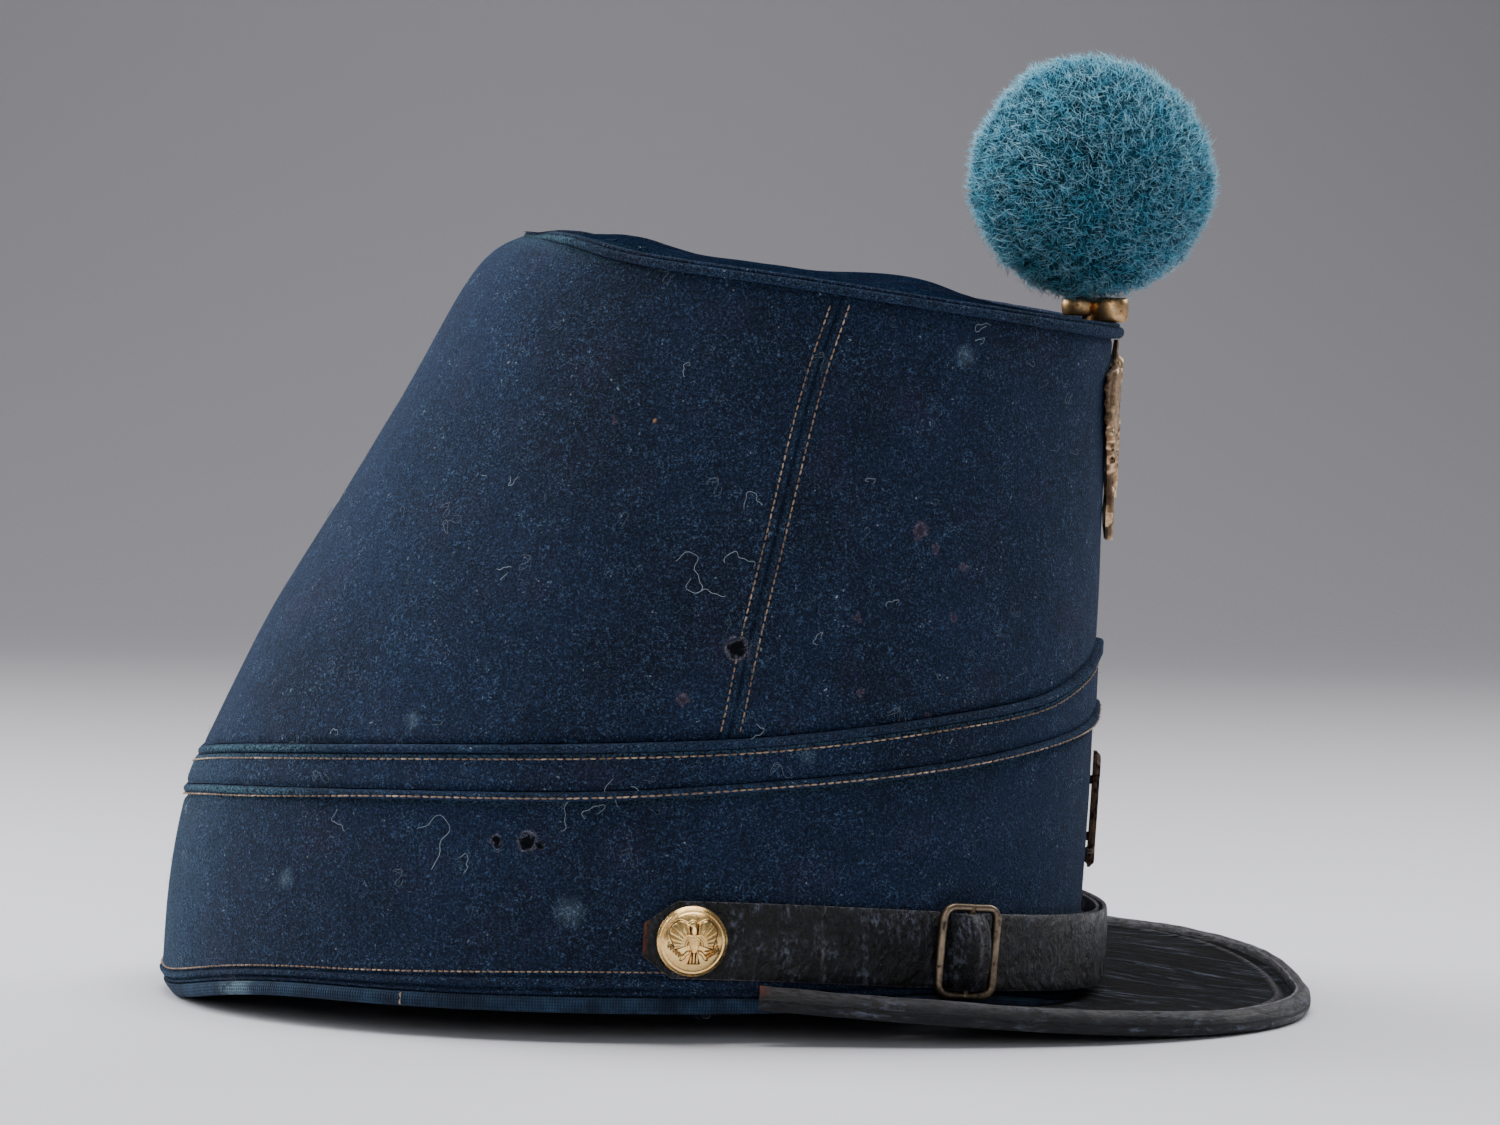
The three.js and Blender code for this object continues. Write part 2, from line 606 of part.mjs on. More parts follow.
// A wire frame with round corners and a middle bar, bent to lie over the strap.
function buckle() {
  const wire = BUCKLE_WIRE / 2;
  const corner = 2.4;
  const sides = 8;
  const halfHeight = (BUCKLE_HEIGHT - BUCKLE_WIRE) / 2;
  const path = [];
  for (const quarter of [0, 1, 2, 3]) {
    const sx = quarter === 0 || quarter === 3 ? 1 : -1;
    const sy = quarter < 2 ? 1 : -1;
    for (const degrees of [0, 30, 60, 90]) {
      const a = rad(90 * quarter + degrees);
      const x = sx * (wireSide - corner) + corner * Math.cos(a);
      const y = sy * (halfHeight - corner) + corner * Math.sin(a);
      path.push({ x, y, normal: new THREE.Vector2(Math.cos(a), Math.sin(a)) });
    }
  }
  const half = Array.from({ length: sides / 2 }, (_, k) => (Math.PI * (k + 0.5)) / (sides / 2));
  const station = (p) => {
    const at = (a) => {
      const across = wire * Math.cos(a);
      return new THREE.Vector3(p.x + p.normal.x * across, p.y + p.normal.y * across, wire * Math.sin(a));
    };
    return { outer: half.map(at), inner: half.map((a) => at(-a)) };
  };
  const frame = shell(path.map(station), true);
  const bar = pin(BUCKLE_BAR, -halfHeight, halfHeight, 10).rotateX(Math.PI / 2);
  const geometry = joined(frame, bar);
  const place = geometry.attributes.position;
  for (let k = 0; k < place.count; k += 1) {
    const [x, y, z] = [place.getX(k), place.getY(k), place.getZ(k)];
    const tilt = lerp(backWireOut, frontWireOut, (x / wireSide + 1) / 2);
    const p = onBand(buckleArc + x + BUCKLE_LEAN * y, y, tilt + z);
    place.setXYZ(k, p.x, p.y, p.z);
  }
  addPiece("buckle", geometry, dullBrass());
}

// Raised work of a button: a shield, two spread wings and a small head. Shares of its radius.
function buttonRelief(x, y) {
  const shield = 1 - smoothstep(Math.hypot(x / 0.24, (y + 0.08) / 0.34), 0.75, 1.05);
  const wing = 1 - smoothstep(Math.hypot((Math.abs(x) - 0.42) / 0.27, (y - 0.2) / 0.42), 0.7, 1.05);
  const head = 1 - smoothstep(Math.hypot(x / 0.13, (y - 0.5) / 0.17), 0.7, 1.05);
  return BUTTON_RELIEF * Math.max(shield, 0.7 * wing, head);
}

function button(name, side, strapThickness) {
  const turns = 24;
  const rings = [0, 0.16, 0.32, 0.48, 0.64, 0.8, 0.93, 1];
  const radius = BUTTON_DIAMETER / 2;
  const points = [];
  const triangles = [];
  const dome = (share) => BUTTON_EDGE + BUTTON_DOME * (1 - share ** 2.4);
  for (const share of rings) {
    for (let k = 0; k < (share === 0 ? 1 : turns); k += 1) {
      const a = (2 * Math.PI * k) / turns;
      const [x, y] = [share * Math.cos(a), share * Math.sin(a)];
      points.push(new THREE.Vector3(radius * x, radius * y, dome(share) + buttonRelief(x, y)));
    }
  }
  for (let k = 0; k < turns; k += 1) points.push(points.at(-turns).clone().setZ(0));
  points.push(new THREE.Vector3(0, 0, 0));
  const last = points.length - 1;
  const rows = rings.length;
  for (let k = 0; k < turns; k += 1) {
    const l = (k + 1) % turns;
    triangles.push(0, 1 + k, 1 + l);
    for (let r = 0; r < rows - 1; r += 1) {
      const a = 1 + r * turns;
      triangles.push(a + k, a + turns + k, a + turns + l, a + k, a + turns + l, a + l);
    }
    const rimRow = 1 + (rows - 1) * turns;
    triangles.push(rimRow + k, last, rimRow + l);
  }
  const seat = GAP + strapThickness + GAP;
  const shank = pin(SHANK_DIAMETER, GAP - seat, BUTTON_EDGE);
  const turn = side * rad(BUTTON_TURN);
  const geometry = joined(closedGeometry(points, triangles), shank);
  addPiece(name, geometry.applyMatrix4(frameOn(turn, strapCentre(turn), seat)), brass());
}

// A fitting on the front: rows of left and right edges, bent to the body, with posts behind it.
function frontFitting(rows, columns, foot, height, thickness, relief, posts) {
  const place = (x, z, out) => skin(Math.asin(x / outline(z / FRONT_HEIGHT).width), z, out);
  const stations = rows.map((row) => {
    const z = foot + height * row.up;
    const xs = Array.from({ length: columns + 1 }, (_, k) => lerp(row.left, row.right, k / columns));
    return {
      outer: xs.map((x) => place(x, z, FITTING_STANDOFF + thickness + relief(x, row.up))),
      inner: xs.map((x) => place(x, z, FITTING_STANDOFF)),
    };
  });
  const pins = posts.map((up) => {
    const post = pin(POST_DIAMETER, GAP - FITTING_STANDOFF, thickness / 2);
    return post.applyMatrix4(frameOn(0, foot + height * up, FITTING_STANDOFF));
  });
  return joined(shell(stations, false), ...pins);
}

// Outline of the eagle plate: up is a share of its height, half of its half width.
const PLATE_OUTLINE = [
  { up: 0, half: 0.16 },
  { up: 0.06, half: 0.36 },
  { up: 0.14, half: 0.44 },
  { up: 0.22, half: 0.36 },
  { up: 0.34, half: 0.5 },
  { up: 0.48, half: 0.7 },
  { up: 0.62, half: 0.9 },
  { up: 0.76, half: 1 },
  { up: 0.84, half: 0.92 },
  { up: 0.88, half: 0.38 },
  { up: 0.94, half: 0.28 },
  { up: 1, half: 0.12 },
];

// Outline of the numeral one: left and right edges as shares of its width.
const NUMERAL_OUTLINE = [
  { up: 0, left: -0.5, right: 0.5 },
  { up: 0.12, left: -0.5, right: 0.5 },
  { up: 0.16, left: -0.2, right: 0.2 },
  { up: 0.76, left: -0.2, right: 0.2 },
  { up: 0.8, left: -0.48, right: 0.2 },
  { up: 0.88, left: -0.36, right: 0.2 },
  { up: 1, left: -0.04, right: 0.2 },
];

function frontFittings() {
  const half = PLATE_WIDTH / 2;
  const plateRows = PLATE_OUTLINE.map((row) => ({
    up: row.up,
    left: -half * row.half,
    right: half * row.half,
  }));
  const plateRelief = (x, up) => {
    const shield = 1 - smoothstep(Math.hypot(x / (0.42 * half), (up - 0.42) / 0.26), 0.7, 1.05);
    const head = 1 - smoothstep(Math.hypot(x / (0.26 * half), (up - 0.82) / 0.12), 0.6, 1.05);
    const wing = smoothstep(up, 0.3, 0.55) * (1 - smoothstep(Math.abs(x) / half, 0.55, 1));
    return PLATE_RELIEF * Math.max(shield, head, 0.6 * wing);
  };
  const plateFoot = FRONT_HEIGHT - PLATE_DROP - PLATE_HEIGHT;
  const posts = [0.25, 0.75];
  const plate = frontFitting(plateRows, 12, plateFoot, PLATE_HEIGHT, PLATE_THICKNESS, plateRelief, posts);
  addPiece("front_plate", plate, brass());
  const numeralRows = NUMERAL_OUTLINE.map((row) => ({
    up: row.up,
    left: NUMERAL_WIDTH * row.left,
    right: NUMERAL_WIDTH * row.right,
  }));
  const flat = () => 0;
  const sizes = [NUMERAL_FOOT, NUMERAL_HEIGHT, NUMERAL_THICKNESS];
  addPiece("front_numeral", frontFitting(numeralRows, 4, ...sizes, flat, posts), dullBrass());
}

// The seat: two upright barrels side by side, front and back, on a stem that runs through the tip.
const seatFoot = FRONT_HEIGHT + TOP_WELT_HEIGHT / 2 + GAP;
const seatHead = seatFoot + SEAT_HEIGHT;

function pompomSeat() {
  const frontX = BASE_LENGTH / 2 + TOP_LEAN + TOP_WELT_REACH - SEAT_FRONT_BARREL / 2 + 1.2;
  const backX = frontX - (SEAT_FRONT_BARREL + SEAT_BACK_BARREL) / 2 + 0.8;
  const backFoot = topPlane(backX - SEAT_BACK_BARREL / 2) + TIP_THICKNESS / 2 + GAP;
  const front = pin(SEAT_FRONT_BARREL, seatFoot, seatHead, 18).translate(frontX, 0, 0);
  const back = pin(SEAT_BACK_BARREL, backFoot, seatHead, 18).translate(backX, 0, 0);
  const stem = pin(STEM_DIAMETER, seatFoot - STEM_DOWN, seatHead + STEM_UP).translate(stemX(), 0, 0);
  addPiece("pompom_seat", joined(front, back, stem), brass());
}

// Tufts on an even spiral, packed over the whole ball.
function pompom() {
  const golden = Math.PI * (3 - Math.sqrt(5));
  const crests = Array.from({ length: TUFTS }, (_, k) => {
    const z = 1 - (2 * k + 1) / TUFTS;
    const ring = Math.sqrt(1 - z * z);
    return new THREE.Vector3(ring * Math.cos(golden * k), ring * Math.sin(golden * k), z);
  });
  const spacing = Math.sqrt((4 * Math.PI) / TUFTS);
  const ball = new THREE.IcosahedronGeometry(POMPOM_DIAMETER / 2, 7);
  const place = ball.attributes.position;
  for (let k = 0; k < place.count; k += 1) {
    const p = new THREE.Vector3().fromBufferAttribute(place, k);
    const direction = p.clone().normalize();
    const nearest = Math.min(...crests.map((c) => c.distanceTo(direction)));
    p.addScaledVector(direction, -TUFT_DEPTH * Math.min(1, nearest / (0.62 * spacing)) ** 2);
    place.setXYZ(k, p.x, p.y, p.z);
  }
  ball.translate(stemX(), 0, seatHead + GAP + POMPOM_DIAMETER / 2 - POMPOM_SINK);
  const socket = pin(STEM_DIAMETER + 2 * GAP, seatHead - STEM_UP, seatHead + STEM_UP + GAP);
  socket.translate(stemX(), 0, 0);
  const bed = pin(POMPOM_DIAMETER, seatHead - POMPOM_DIAMETER / 2, seatHead + GAP, 24);
  bed.translate(stemX(), 0, 0);
  addPiece("pompom", cut(ball, socket, bed), material(0x3f7285, 1, 0));
}

body();
baseBinding();
crownTip();
peak();
chinStrap();
buckle();
button("button_right", -1, OUTER_STRAP_THICKNESS);
button("button_left", 1, INNER_STRAP_THICKNESS);
frontFittings();
pompomSeat();
pompom();

// The origin is the middle of the footprint, which runs from the back of the binding to the tip.
const footprintBack = -BASE_LENGTH / 2 - GAP - BINDING_THICKNESS;
hat.position.x = -(footprintBack + PEAK_REACH) / 2;

const shako = new THREE.Group();
shako.add(hat);

export default shako;
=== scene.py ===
import json
import math

import bmesh
import bpy
import numpy as np
from mathutils import Matrix, Vector

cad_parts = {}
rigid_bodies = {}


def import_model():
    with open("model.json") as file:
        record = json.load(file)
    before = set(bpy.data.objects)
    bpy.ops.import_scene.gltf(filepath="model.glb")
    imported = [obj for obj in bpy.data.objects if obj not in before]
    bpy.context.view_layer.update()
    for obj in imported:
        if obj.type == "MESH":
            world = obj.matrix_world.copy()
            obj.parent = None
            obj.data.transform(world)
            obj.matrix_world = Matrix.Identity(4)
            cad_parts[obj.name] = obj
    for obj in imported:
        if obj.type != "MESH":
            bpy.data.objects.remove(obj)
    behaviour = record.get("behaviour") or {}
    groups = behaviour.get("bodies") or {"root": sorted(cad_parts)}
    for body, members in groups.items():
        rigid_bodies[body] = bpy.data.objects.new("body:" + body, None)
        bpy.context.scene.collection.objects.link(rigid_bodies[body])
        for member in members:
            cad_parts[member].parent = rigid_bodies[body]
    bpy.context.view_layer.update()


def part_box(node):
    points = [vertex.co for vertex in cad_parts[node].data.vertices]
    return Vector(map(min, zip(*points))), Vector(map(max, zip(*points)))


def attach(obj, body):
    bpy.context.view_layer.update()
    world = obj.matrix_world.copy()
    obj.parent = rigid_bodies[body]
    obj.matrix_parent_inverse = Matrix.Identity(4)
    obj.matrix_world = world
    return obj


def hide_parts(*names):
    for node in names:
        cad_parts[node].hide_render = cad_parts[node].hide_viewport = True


bl_info = {
    "name": "Cloth shako with peak and pompom",
    "version": (1, 0, 0),
    "blender": (4, 5, 0),
    "location": "View3D > Sidebar > Shako",
    "description": "Builds the finished cloth, leather, brass and wool of a military shako",
    "category": "Add Mesh",
}

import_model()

# Shapes are worked out in millimetres from the middle of the base, +X the front and +Y the left
# side. MM turns them to metres and HOME moves the base's middle to its place in the frame.
MM = 0.001
PEAK_REACH = 154.0
HOME = np.array([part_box("peak_binding")[1].x / MM - PEAK_REACH, 0.0, 0.0])

# Sizes that the solids have too.
BASE_LENGTH, BASE_WIDTH = 204.0, 166.0
SIDE_LIFT = 6.2
TOP_LENGTH, TOP_WIDTH = 137.0, 120.0
TOP_LEAN = 5.3
FRONT_HEIGHT, BACK_HEIGHT = 150.0, 170.0
WALL = 2.5
GAP = 0.3
PROFILE = {
    "up": [0, 0.13, 0.27, 0.36, 0.5, 0.65, 0.8, 0.92, 1],
    "back": [0, 0.02, 0.08, 0.17, 0.33, 0.54, 0.745, 0.895, 1],
    "side": [0, 0.03, 0.1, 0.2, 0.37, 0.57, 0.77, 0.91, 1],
    "front": [0, 0.12, 0.33, 0.45, 0.58, 0.7, 0.8, 0.92, 1],
}
UPPER_WELT = (52.7, 80.4)
LOWER_WELT = (44.4, 66.8)
WELT_COURSE = {
    "turn": [0, 8, 18, 30, 50, 75, 95, 122, 155, 180],
    "upper": [1, 0.9, 0.78, 0.64, 0.53, 0.39, 0.33, 0.265, 0.14, 0],
    "lower": [1, 0.87, 0.79, 0.71, 0.57, 0.43, 0.33, 0.27, 0.145, 0],
}
WELT_HEIGHT = 2.1
TOP_WELT_HEIGHT, TOP_WELT_REACH, TOP_WELT_DEPTH = 2.6, 1.5, 1.2
BACK_HUMP, BACK_HUMP_AT, BACK_HUMP_SPREAD = 3.2, -1.5, 13.0
TIP_THICKNESS, TIP_HUMP, TIP_HUMP_AT, TIP_HUMP_SPREAD = 2.0, 3.5, 62.0, 16.0
BINDING_THICKNESS, BINDING_INSIDE = 1.0, 5.0
PEAK_START, PEAK_MARGIN, PEAK_LIFT, PEAK_TWIST = 31.4, 6.6, 7.7, 4.5
PEAK_THICKNESS, ROLL_HEIGHT, ROLL_WIDTH, PEAK_SQUARENESS = 2.2, 5.3, 4.0, 2.5
STRAP_HEIGHT = 16.4
OUTER_STRAP, INNER_STRAP = 1.5, 1.2
STRAP_SIDE_CENTRE, STRAP_FRONT_CENTRE = 22.0, 13.6
STRAP_BOW, STRAP_BOW_TURN = 3.0, 60.0
STRAP_OVERHANG, STRAP_FREE_TURN = 10.0, 56.0
BUCKLE_TURN, BUCKLE_WIDTH, BUCKLE_HEIGHT = 44.5, 14.4, 20.6
BUCKLE_WIRE, BUCKLE_BAR, BUCKLE_LEAN = 1.7, 1.5, 0.04
BUTTON_DIAMETER, BUTTON_DOME, BUTTON_EDGE, BUTTON_TURN = 15.0, 3.4, 1.2, 81.0
PLATE_HEIGHT, PLATE_WIDTH, PLATE_DROP, PLATE_THICKNESS = 44.4, 32.0, 2.3, 0.9
NUMERAL_HEIGHT, NUMERAL_WIDTH, NUMERAL_FOOT, NUMERAL_THICKNESS = 25.3, 12.0, 30.6, 1.5
FITTING_STANDOFF = 0.9
POMPOM_DIAMETER, POMPOM_SINK, POMPOM_SET_BACK = 54.8, 1.7, 5.0
SEAT_HEIGHT, FRONT_BARREL, BACK_BARREL = 5.4, 8.4, 7.4

# The side seam wanders: its turn from the front, in degrees, by height.
SEAM = {"height": [52, 63, 72.4, 103.6, 135.2, 155.4], "turn": [80.5, 80.5, 80.6, 82.0, 83.4, 83.0]}
SEAM_ROW = 2.05  # from the seam to each of its two rows of stitches
TOP_SLACK = 0.9  # how far the top edge has sagged behind the sides
TOP_BULGE = 1.8  # how far it bulges up between the side and the back
BACK_TUCK = 6.5  # how far the worn top edge rolls inwards at the back
BASE_TUCK = 3.4  # how far the worn base rolls inwards at the back
BINDING_SHOWS = 3.4  # how much of the base binding shows above the rim at the sides
BINDING_SINKS = 0.4  # how much less of it shows at the back
HEM_SIDE, HEM_BACK = 5.4, 3.4  # from the binding up to the hem's stitches
TACK_TURN = -115.6  # where a tack holds the base binding
STRIP_PROUD = 0.7  # how far the strip between the welts stands out of the crown

# Loose curled hairs, charted: turn in degrees, height and length in millimetres, heading
# in degrees and how far it turns on its way, in radians.
HAIRS = [
    (-91.6, 49.5, 17.0, 160, -4.2), (-100.0, 51.0, 12.0, 10, -2.6), (-94.2, 48.2, 9.0, 40, 5.0),
    (-116.3, 43.6, 19.0, 40, -3.3), (-110.0, 38.0, 6.0, 30, -3.0), (-128.0, 47.0, 8.0, 250, 2.0),
    (-54.5, 151.4, 7.0, 100, 5.5), (-56.0, 147.0, 5.0, 20, 4.0), (-88.0, 112.0, 9.0, 120, -3.6),
    (-84.0, 100.0, 10.0, 100, 2.4), (-95.0, 101.0, 14.0, 20, -2.2), (-92.0, 98.0, 12.0, 300, 1.5),
    (-70.0, 118.0, 4.0, 30, 5.0), (-62.0, 92.0, 5.0, 60, 4.0), (-72.0, 84.0, 5.0, 200, -5.0),
    (-118.0, 96.0, 6.0, 50, 3.0), (-104.0, 142.0, 5.0, 140, 4.0), (-124.0, 118.0, 5.0, 300, -4.0),
    (-78.0, 64.0, 6.0, 350, 3.0), (-133.0, 62.0, 5.0, 20, 6.0), (-50.0, 60.0, 6.0, 120, -3.0),
    (60.0, 120.0, 8.0, 40, 4.0), (95.0, 90.0, 10.0, 200, -3.0), (130.0, 40.0, 9.0, 80, 3.5),
    (160.0, 110.0, 7.0, 10, -4.0), (20.0, 110.0, 6.0, 250, 3.0),
]
# Marks of age on the cloth, charted: turn in degrees, height and radius in millimetres.
HOLES_CROWN = [(-82.5, 83.0, 2.2)]
HOLES_BAND = [(-105.7, 41.6, 1.3), (-102.0, 42.0, 1.8), (-100.3, 41.4, 0.8)]
BARE_SPOTS = [
    (-87.6, 72.2, 1.6), (-60.4, 107.8, 1.9), (-51.4, 99.6, 1.2), (-67.2, 89.4, 1.1), (-51.8, 89.0, 1.0),
    (-64.4, 73.6, 1.0), (-53.4, 68.0, 1.2), (-56.0, 67.0, 0.9), (-112.6, 130.2, 0.8), (-57.0, 104.0, 1.1),
    (120.0, 92.0, 1.6), (74.0, 118.0, 1.3), (152.0, 120.0, 1.2),
]
RUST_SPOTS = [(-106.2, 130.4, 0.9), (-51.4, 73.4, 0.6)]
SCUFFS = [
    (-95.6, 27.4, 4.5), (-122.0, 66.0, 3.0), (-135.0, 31.0, 3.2), (-70.0, 60.5, 2.5), (-58.0, 145.0, 3.5),
]


def smooth(x, low, high):
    t = np.clip((np.asarray(x, float) - low) / (high - low), 0, 1)
    return t * t * (3 - 2 * t)


def ridge(x, at, width):
    """A bell-shaped bump: 1 at its place and almost gone two widths from it."""
    return np.exp(-(((x - at) / width) ** 2))


def lerp(a, b, t):
    return a + (b - a) * t


def read(keys, values, at):
    """A smooth curve through values at their keys."""
    keys, values = np.asarray(keys, float), np.asarray(values, float)
    x = np.clip(at, keys[0], keys[-1])
    i = np.clip(np.searchsorted(keys, x, side="right") - 1, 0, len(keys) - 2)
    low = np.maximum(np.arange(len(keys)) - 1, 0)
    high = np.minimum(np.arange(len(keys)) + 1, len(keys) - 1)
    slope = (values[high] - values[low]) / (keys[high] - keys[low])
    width = keys[i + 1] - keys[i]
    t = (x - keys[i]) / width
    start = values[i] * (1 + 2 * t) + t * width * slope[i]
    end = values[i + 1] * (3 - 2 * t) - (1 - t) * width * slope[i + 1]
    return start * (1 - t) ** 2 + end * t**2


def noise(points, size, seed):
    """Smooth noise from -1 to 1, with swells of a size in millimetres."""
    q = np.asarray(points, float) / size + 31.7 * seed
    cell = np.floor(q).astype(np.int64)
    t = q - cell
    t = t * t * (3 - 2 * t)
    total = 0
    for corner in range(8):
        step = np.array([corner & 1, corner >> 1 & 1, corner >> 2 & 1])
        c = cell + step
        mixed = (c[..., 0] * 73856093) ^ (c[..., 1] * 19349663) ^ (c[..., 2] * 83492791)
        mixed = (mixed * 1103515245 + 12345) & 0x7FFFFFFF
        mixed = ((mixed ^ mixed >> 13) * 60493) & 0x7FFFFFFF
        total = total + np.prod(np.where(step, t, 1 - t), axis=-1) * (mixed / 0x3FFFFFFF - 1)
    return total


def ticks(length, pitch, near=()):
    """Shares of a length at even steps, closer together near the places (at, half width, pitch)."""
    fine = np.linspace(0, length, 4000)
    local = np.full_like(fine, pitch)
    for at, half, closer in near:
        reach = np.abs(fine - at)
        local = np.minimum(local, lerp(closer, pitch, smooth(reach, half, 2.2 * half)))
    count = np.concatenate([[0], np.cumsum((1 / local[1:]) * np.diff(fine))])
    wanted = np.linspace(0, count[-1], int(math.ceil(count[-1])) + 1)
    return np.interp(wanted, count, fine) / length


# The body's surface.
def degrees_from_front(turn):
    return np.abs(np.degrees(np.arctan2(np.sin(turn), np.cos(turn))))


def rim(turn):
    return SIDE_LIFT * smooth(np.abs(np.sin(turn)), 0.18, 0.8)


def top_slack(turn):
    """How far the worn top edge hangs below its plane. It bulges up between the side and the back."""
    away = degrees_from_front(turn)
    slack = TOP_SLACK * smooth(away, 85, 130) * (1 - smooth(away, 140, 158))
    return slack - TOP_BULGE * ridge(away, 141, 14)


def top_edge(turn):
    return lerp(BACK_HEIGHT, FRONT_HEIGHT, (1 + np.cos(turn)) / 2) - top_slack(turn)


def back_tuck(turn, under):
    """How far the crown rolls inwards at the back, at a depth under its top edge."""
    return BACK_TUCK * smooth(degrees_from_front(turn), 125, 165) * np.exp(-np.maximum(under, 0) / 3.4)


def upper_welt(turn):
    return lerp(*UPPER_WELT, read(WELT_COURSE["turn"], WELT_COURSE["upper"], degrees_from_front(turn)))


def lower_welt(turn):
    return lerp(*LOWER_WELT, read(WELT_COURSE["turn"], WELT_COURSE["lower"], degrees_from_front(turn)))


def outline(up):
    """Middle, half length and half width of the body at a share of its height."""
    top_front = BASE_LENGTH / 2 + TOP_LEAN
    front = lerp(BASE_LENGTH / 2, top_front, read(PROFILE["up"], PROFILE["front"], up))
    back = lerp(-BASE_LENGTH / 2, top_front - TOP_LENGTH, read(PROFILE["up"], PROFILE["back"], up))
    width = lerp(BASE_WIDTH, TOP_WIDTH, read(PROFILE["up"], PROFILE["side"], up))
    return (front + back) / 2, (front - back) / 2, width / 2


def skin(turn, height, out=0.0):
    """Points on the body at turns from the front and heights, moved level outwards."""
    turn, height, out = np.broadcast_arrays(*(np.asarray(v, float) for v in (turn, height, out)))
    foot = rim(turn)
    middle, length, width = outline((height - foot) / (top_edge(turn) - foot))
    nx, ny = np.cos(turn) / length, np.sin(turn) / width
    size = np.hypot(nx, ny)
    x = middle + length * np.cos(turn) + out * nx / size
    return np.stack([x, width * np.sin(turn) + out * ny / size, height], -1)


def frame_on(turn, height, out=0.0):
    """A place on the body: its origin and its directions along the turn, up, and straight out."""
    step = 0.01
    along = skin(turn + step, height, out) - skin(turn - step, height, out)
    along /= np.linalg.norm(along, axis=-1, keepdims=True)
    outward = np.stack([along[..., 1], -along[..., 0], 0 * along[..., 0]], -1)
    outward /= np.linalg.norm(outward, axis=-1, keepdims=True)
    return skin(turn, height, out), along, np.cross(outward, along), outward


def skin_speed(turn, height):
    """Millimetres along the body for each radian of turn."""
    return np.linalg.norm(skin(turn + 0.01, height) - skin(turn - 0.01, height), axis=-1) / 0.02


def top_plane(x):
    middle, length, _ = outline(1.0)
    return lerp(BACK_HEIGHT, FRONT_HEIGHT, (x - middle + length) / (2 * length))


def seam_turn(height):
    return np.radians(read(SEAM["height"], SEAM["turn"], height))


# Meshes.
def grid(rows, columns, wrap_rows=False, wrap_columns=False):
    """Quads over points numbered row by row."""
    r, c = np.meshgrid(
        np.arange(rows - (not wrap_rows)), np.arange(columns - (not wrap_columns)), indexing="ij"
    )
    r2, c2 = (r + 1) % rows, (c + 1) % columns
    quads = [r * columns + c, r2 * columns + c, r2 * columns + c2, r * columns + c2]
    return np.stack(quads, -1).reshape(-1, 4)


def zipped(a, b):
    """Triangles between two lines of points that have different counts."""
    faces = []
    i = j = 0
    while i < len(a) - 1 or j < len(b) - 1:
        if j == len(b) - 1 or (i < len(a) - 1 and (i + 1) / (len(a) - 1) <= (j + 1) / (len(b) - 1)):
            faces.append((a[i], a[i + 1], b[j]))
            i += 1
        else:
            faces.append((a[i], b[j + 1], b[j]))
            j += 1
    return np.array(faces)


def link(name, mesh):
    made = bpy.data.objects.new(name, mesh)
    bpy.context.scene.collection.objects.link(made)
    return made


def mark(mesh, key, value, kind="FLOAT"):
    """Writes an attribute of a mesh's points."""
    attribute = mesh.attributes.new(key, kind, "POINT")
    field = "vector" if kind == "FLOAT_VECTOR" else "value"
    attribute.data.foreach_set(field, np.asarray(value, np.float32).ravel())


def plain(name, points, faces, look):
    """A smooth mesh object from points in metres."""
    mesh = bpy.data.meshes.new(name)
    mesh.from_pydata([tuple(p) for p in points], [], [tuple(int(i) for i in f) for f in faces])
    mesh.materials.append(look)
    mesh.shade_smooth()
    return link(name, mesh)


def make(name, points, faces, looks, uv, period=None, marks=None, crease=60):
    """A closed piece from points in millimetres: outward faces, a UV map in metres and attributes.
    period holds the length round the piece at each point, so that no UV face spans the whole run."""
    points = np.asarray(points, float)
    volume = 0.0
    for f in faces:
        for k in range(2, f.shape[1]):
            a, b, c = points[f[:, 0]], points[f[:, k - 1]], points[f[:, k]]
            volume += float(np.einsum("ij,ij->", a, np.cross(b, c)))
    if volume < 0:
        faces = [f[:, ::-1] for f in faces]
    mesh = bpy.data.meshes.new(name)
    mesh.vertices.add(len(points))
    mesh.vertices.foreach_set("co", ((points + HOME) * MM).astype(np.float32).ravel())
    loops = np.concatenate([f.ravel() for f in faces]).astype(np.int32)
    sizes = np.concatenate([np.full(len(f), f.shape[1]) for f in faces])
    mesh.loops.add(len(loops))
    mesh.loops.foreach_set("vertex_index", loops)
    mesh.polygons.add(len(sizes))
    starts = np.concatenate([[0], np.cumsum(sizes)[:-1]]).astype(np.int32)
    mesh.polygons.foreach_set("loop_start", starts)
    mesh.update(calc_edges=True)
    if mesh.validate():
        raise RuntimeError(f"{name} has faulty faces")
    corner = np.asarray(uv, float)[loops]
    if period is not None:
        end = 0
        for f in faces:
            block = corner[end : end + f.size].reshape(f.shape + (2,))
            turn_length = np.asarray(period, float)[f]
            torn = np.ptp(block[..., 0], axis=1, keepdims=True) > 0.5 * turn_length
            block[..., 0] += np.where(torn & (block[..., 0] < 0.5 * turn_length), turn_length, 0)
            corner[end : end + f.size] = block.reshape(-1, 2)
            end += f.size
    layer = mesh.uv_layers.new(name="UVMap")
    layer.data.foreach_set("uv", (corner * MM).astype(np.float32).ravel())
    for key, value in (marks or {}).items():
        mark(mesh, key, value)
    for look in looks:
        mesh.materials.append(look)
    mesh.shade_smooth()
    mesh.set_sharp_from_angle(angle=math.radians(crease))
    return link(name, mesh)


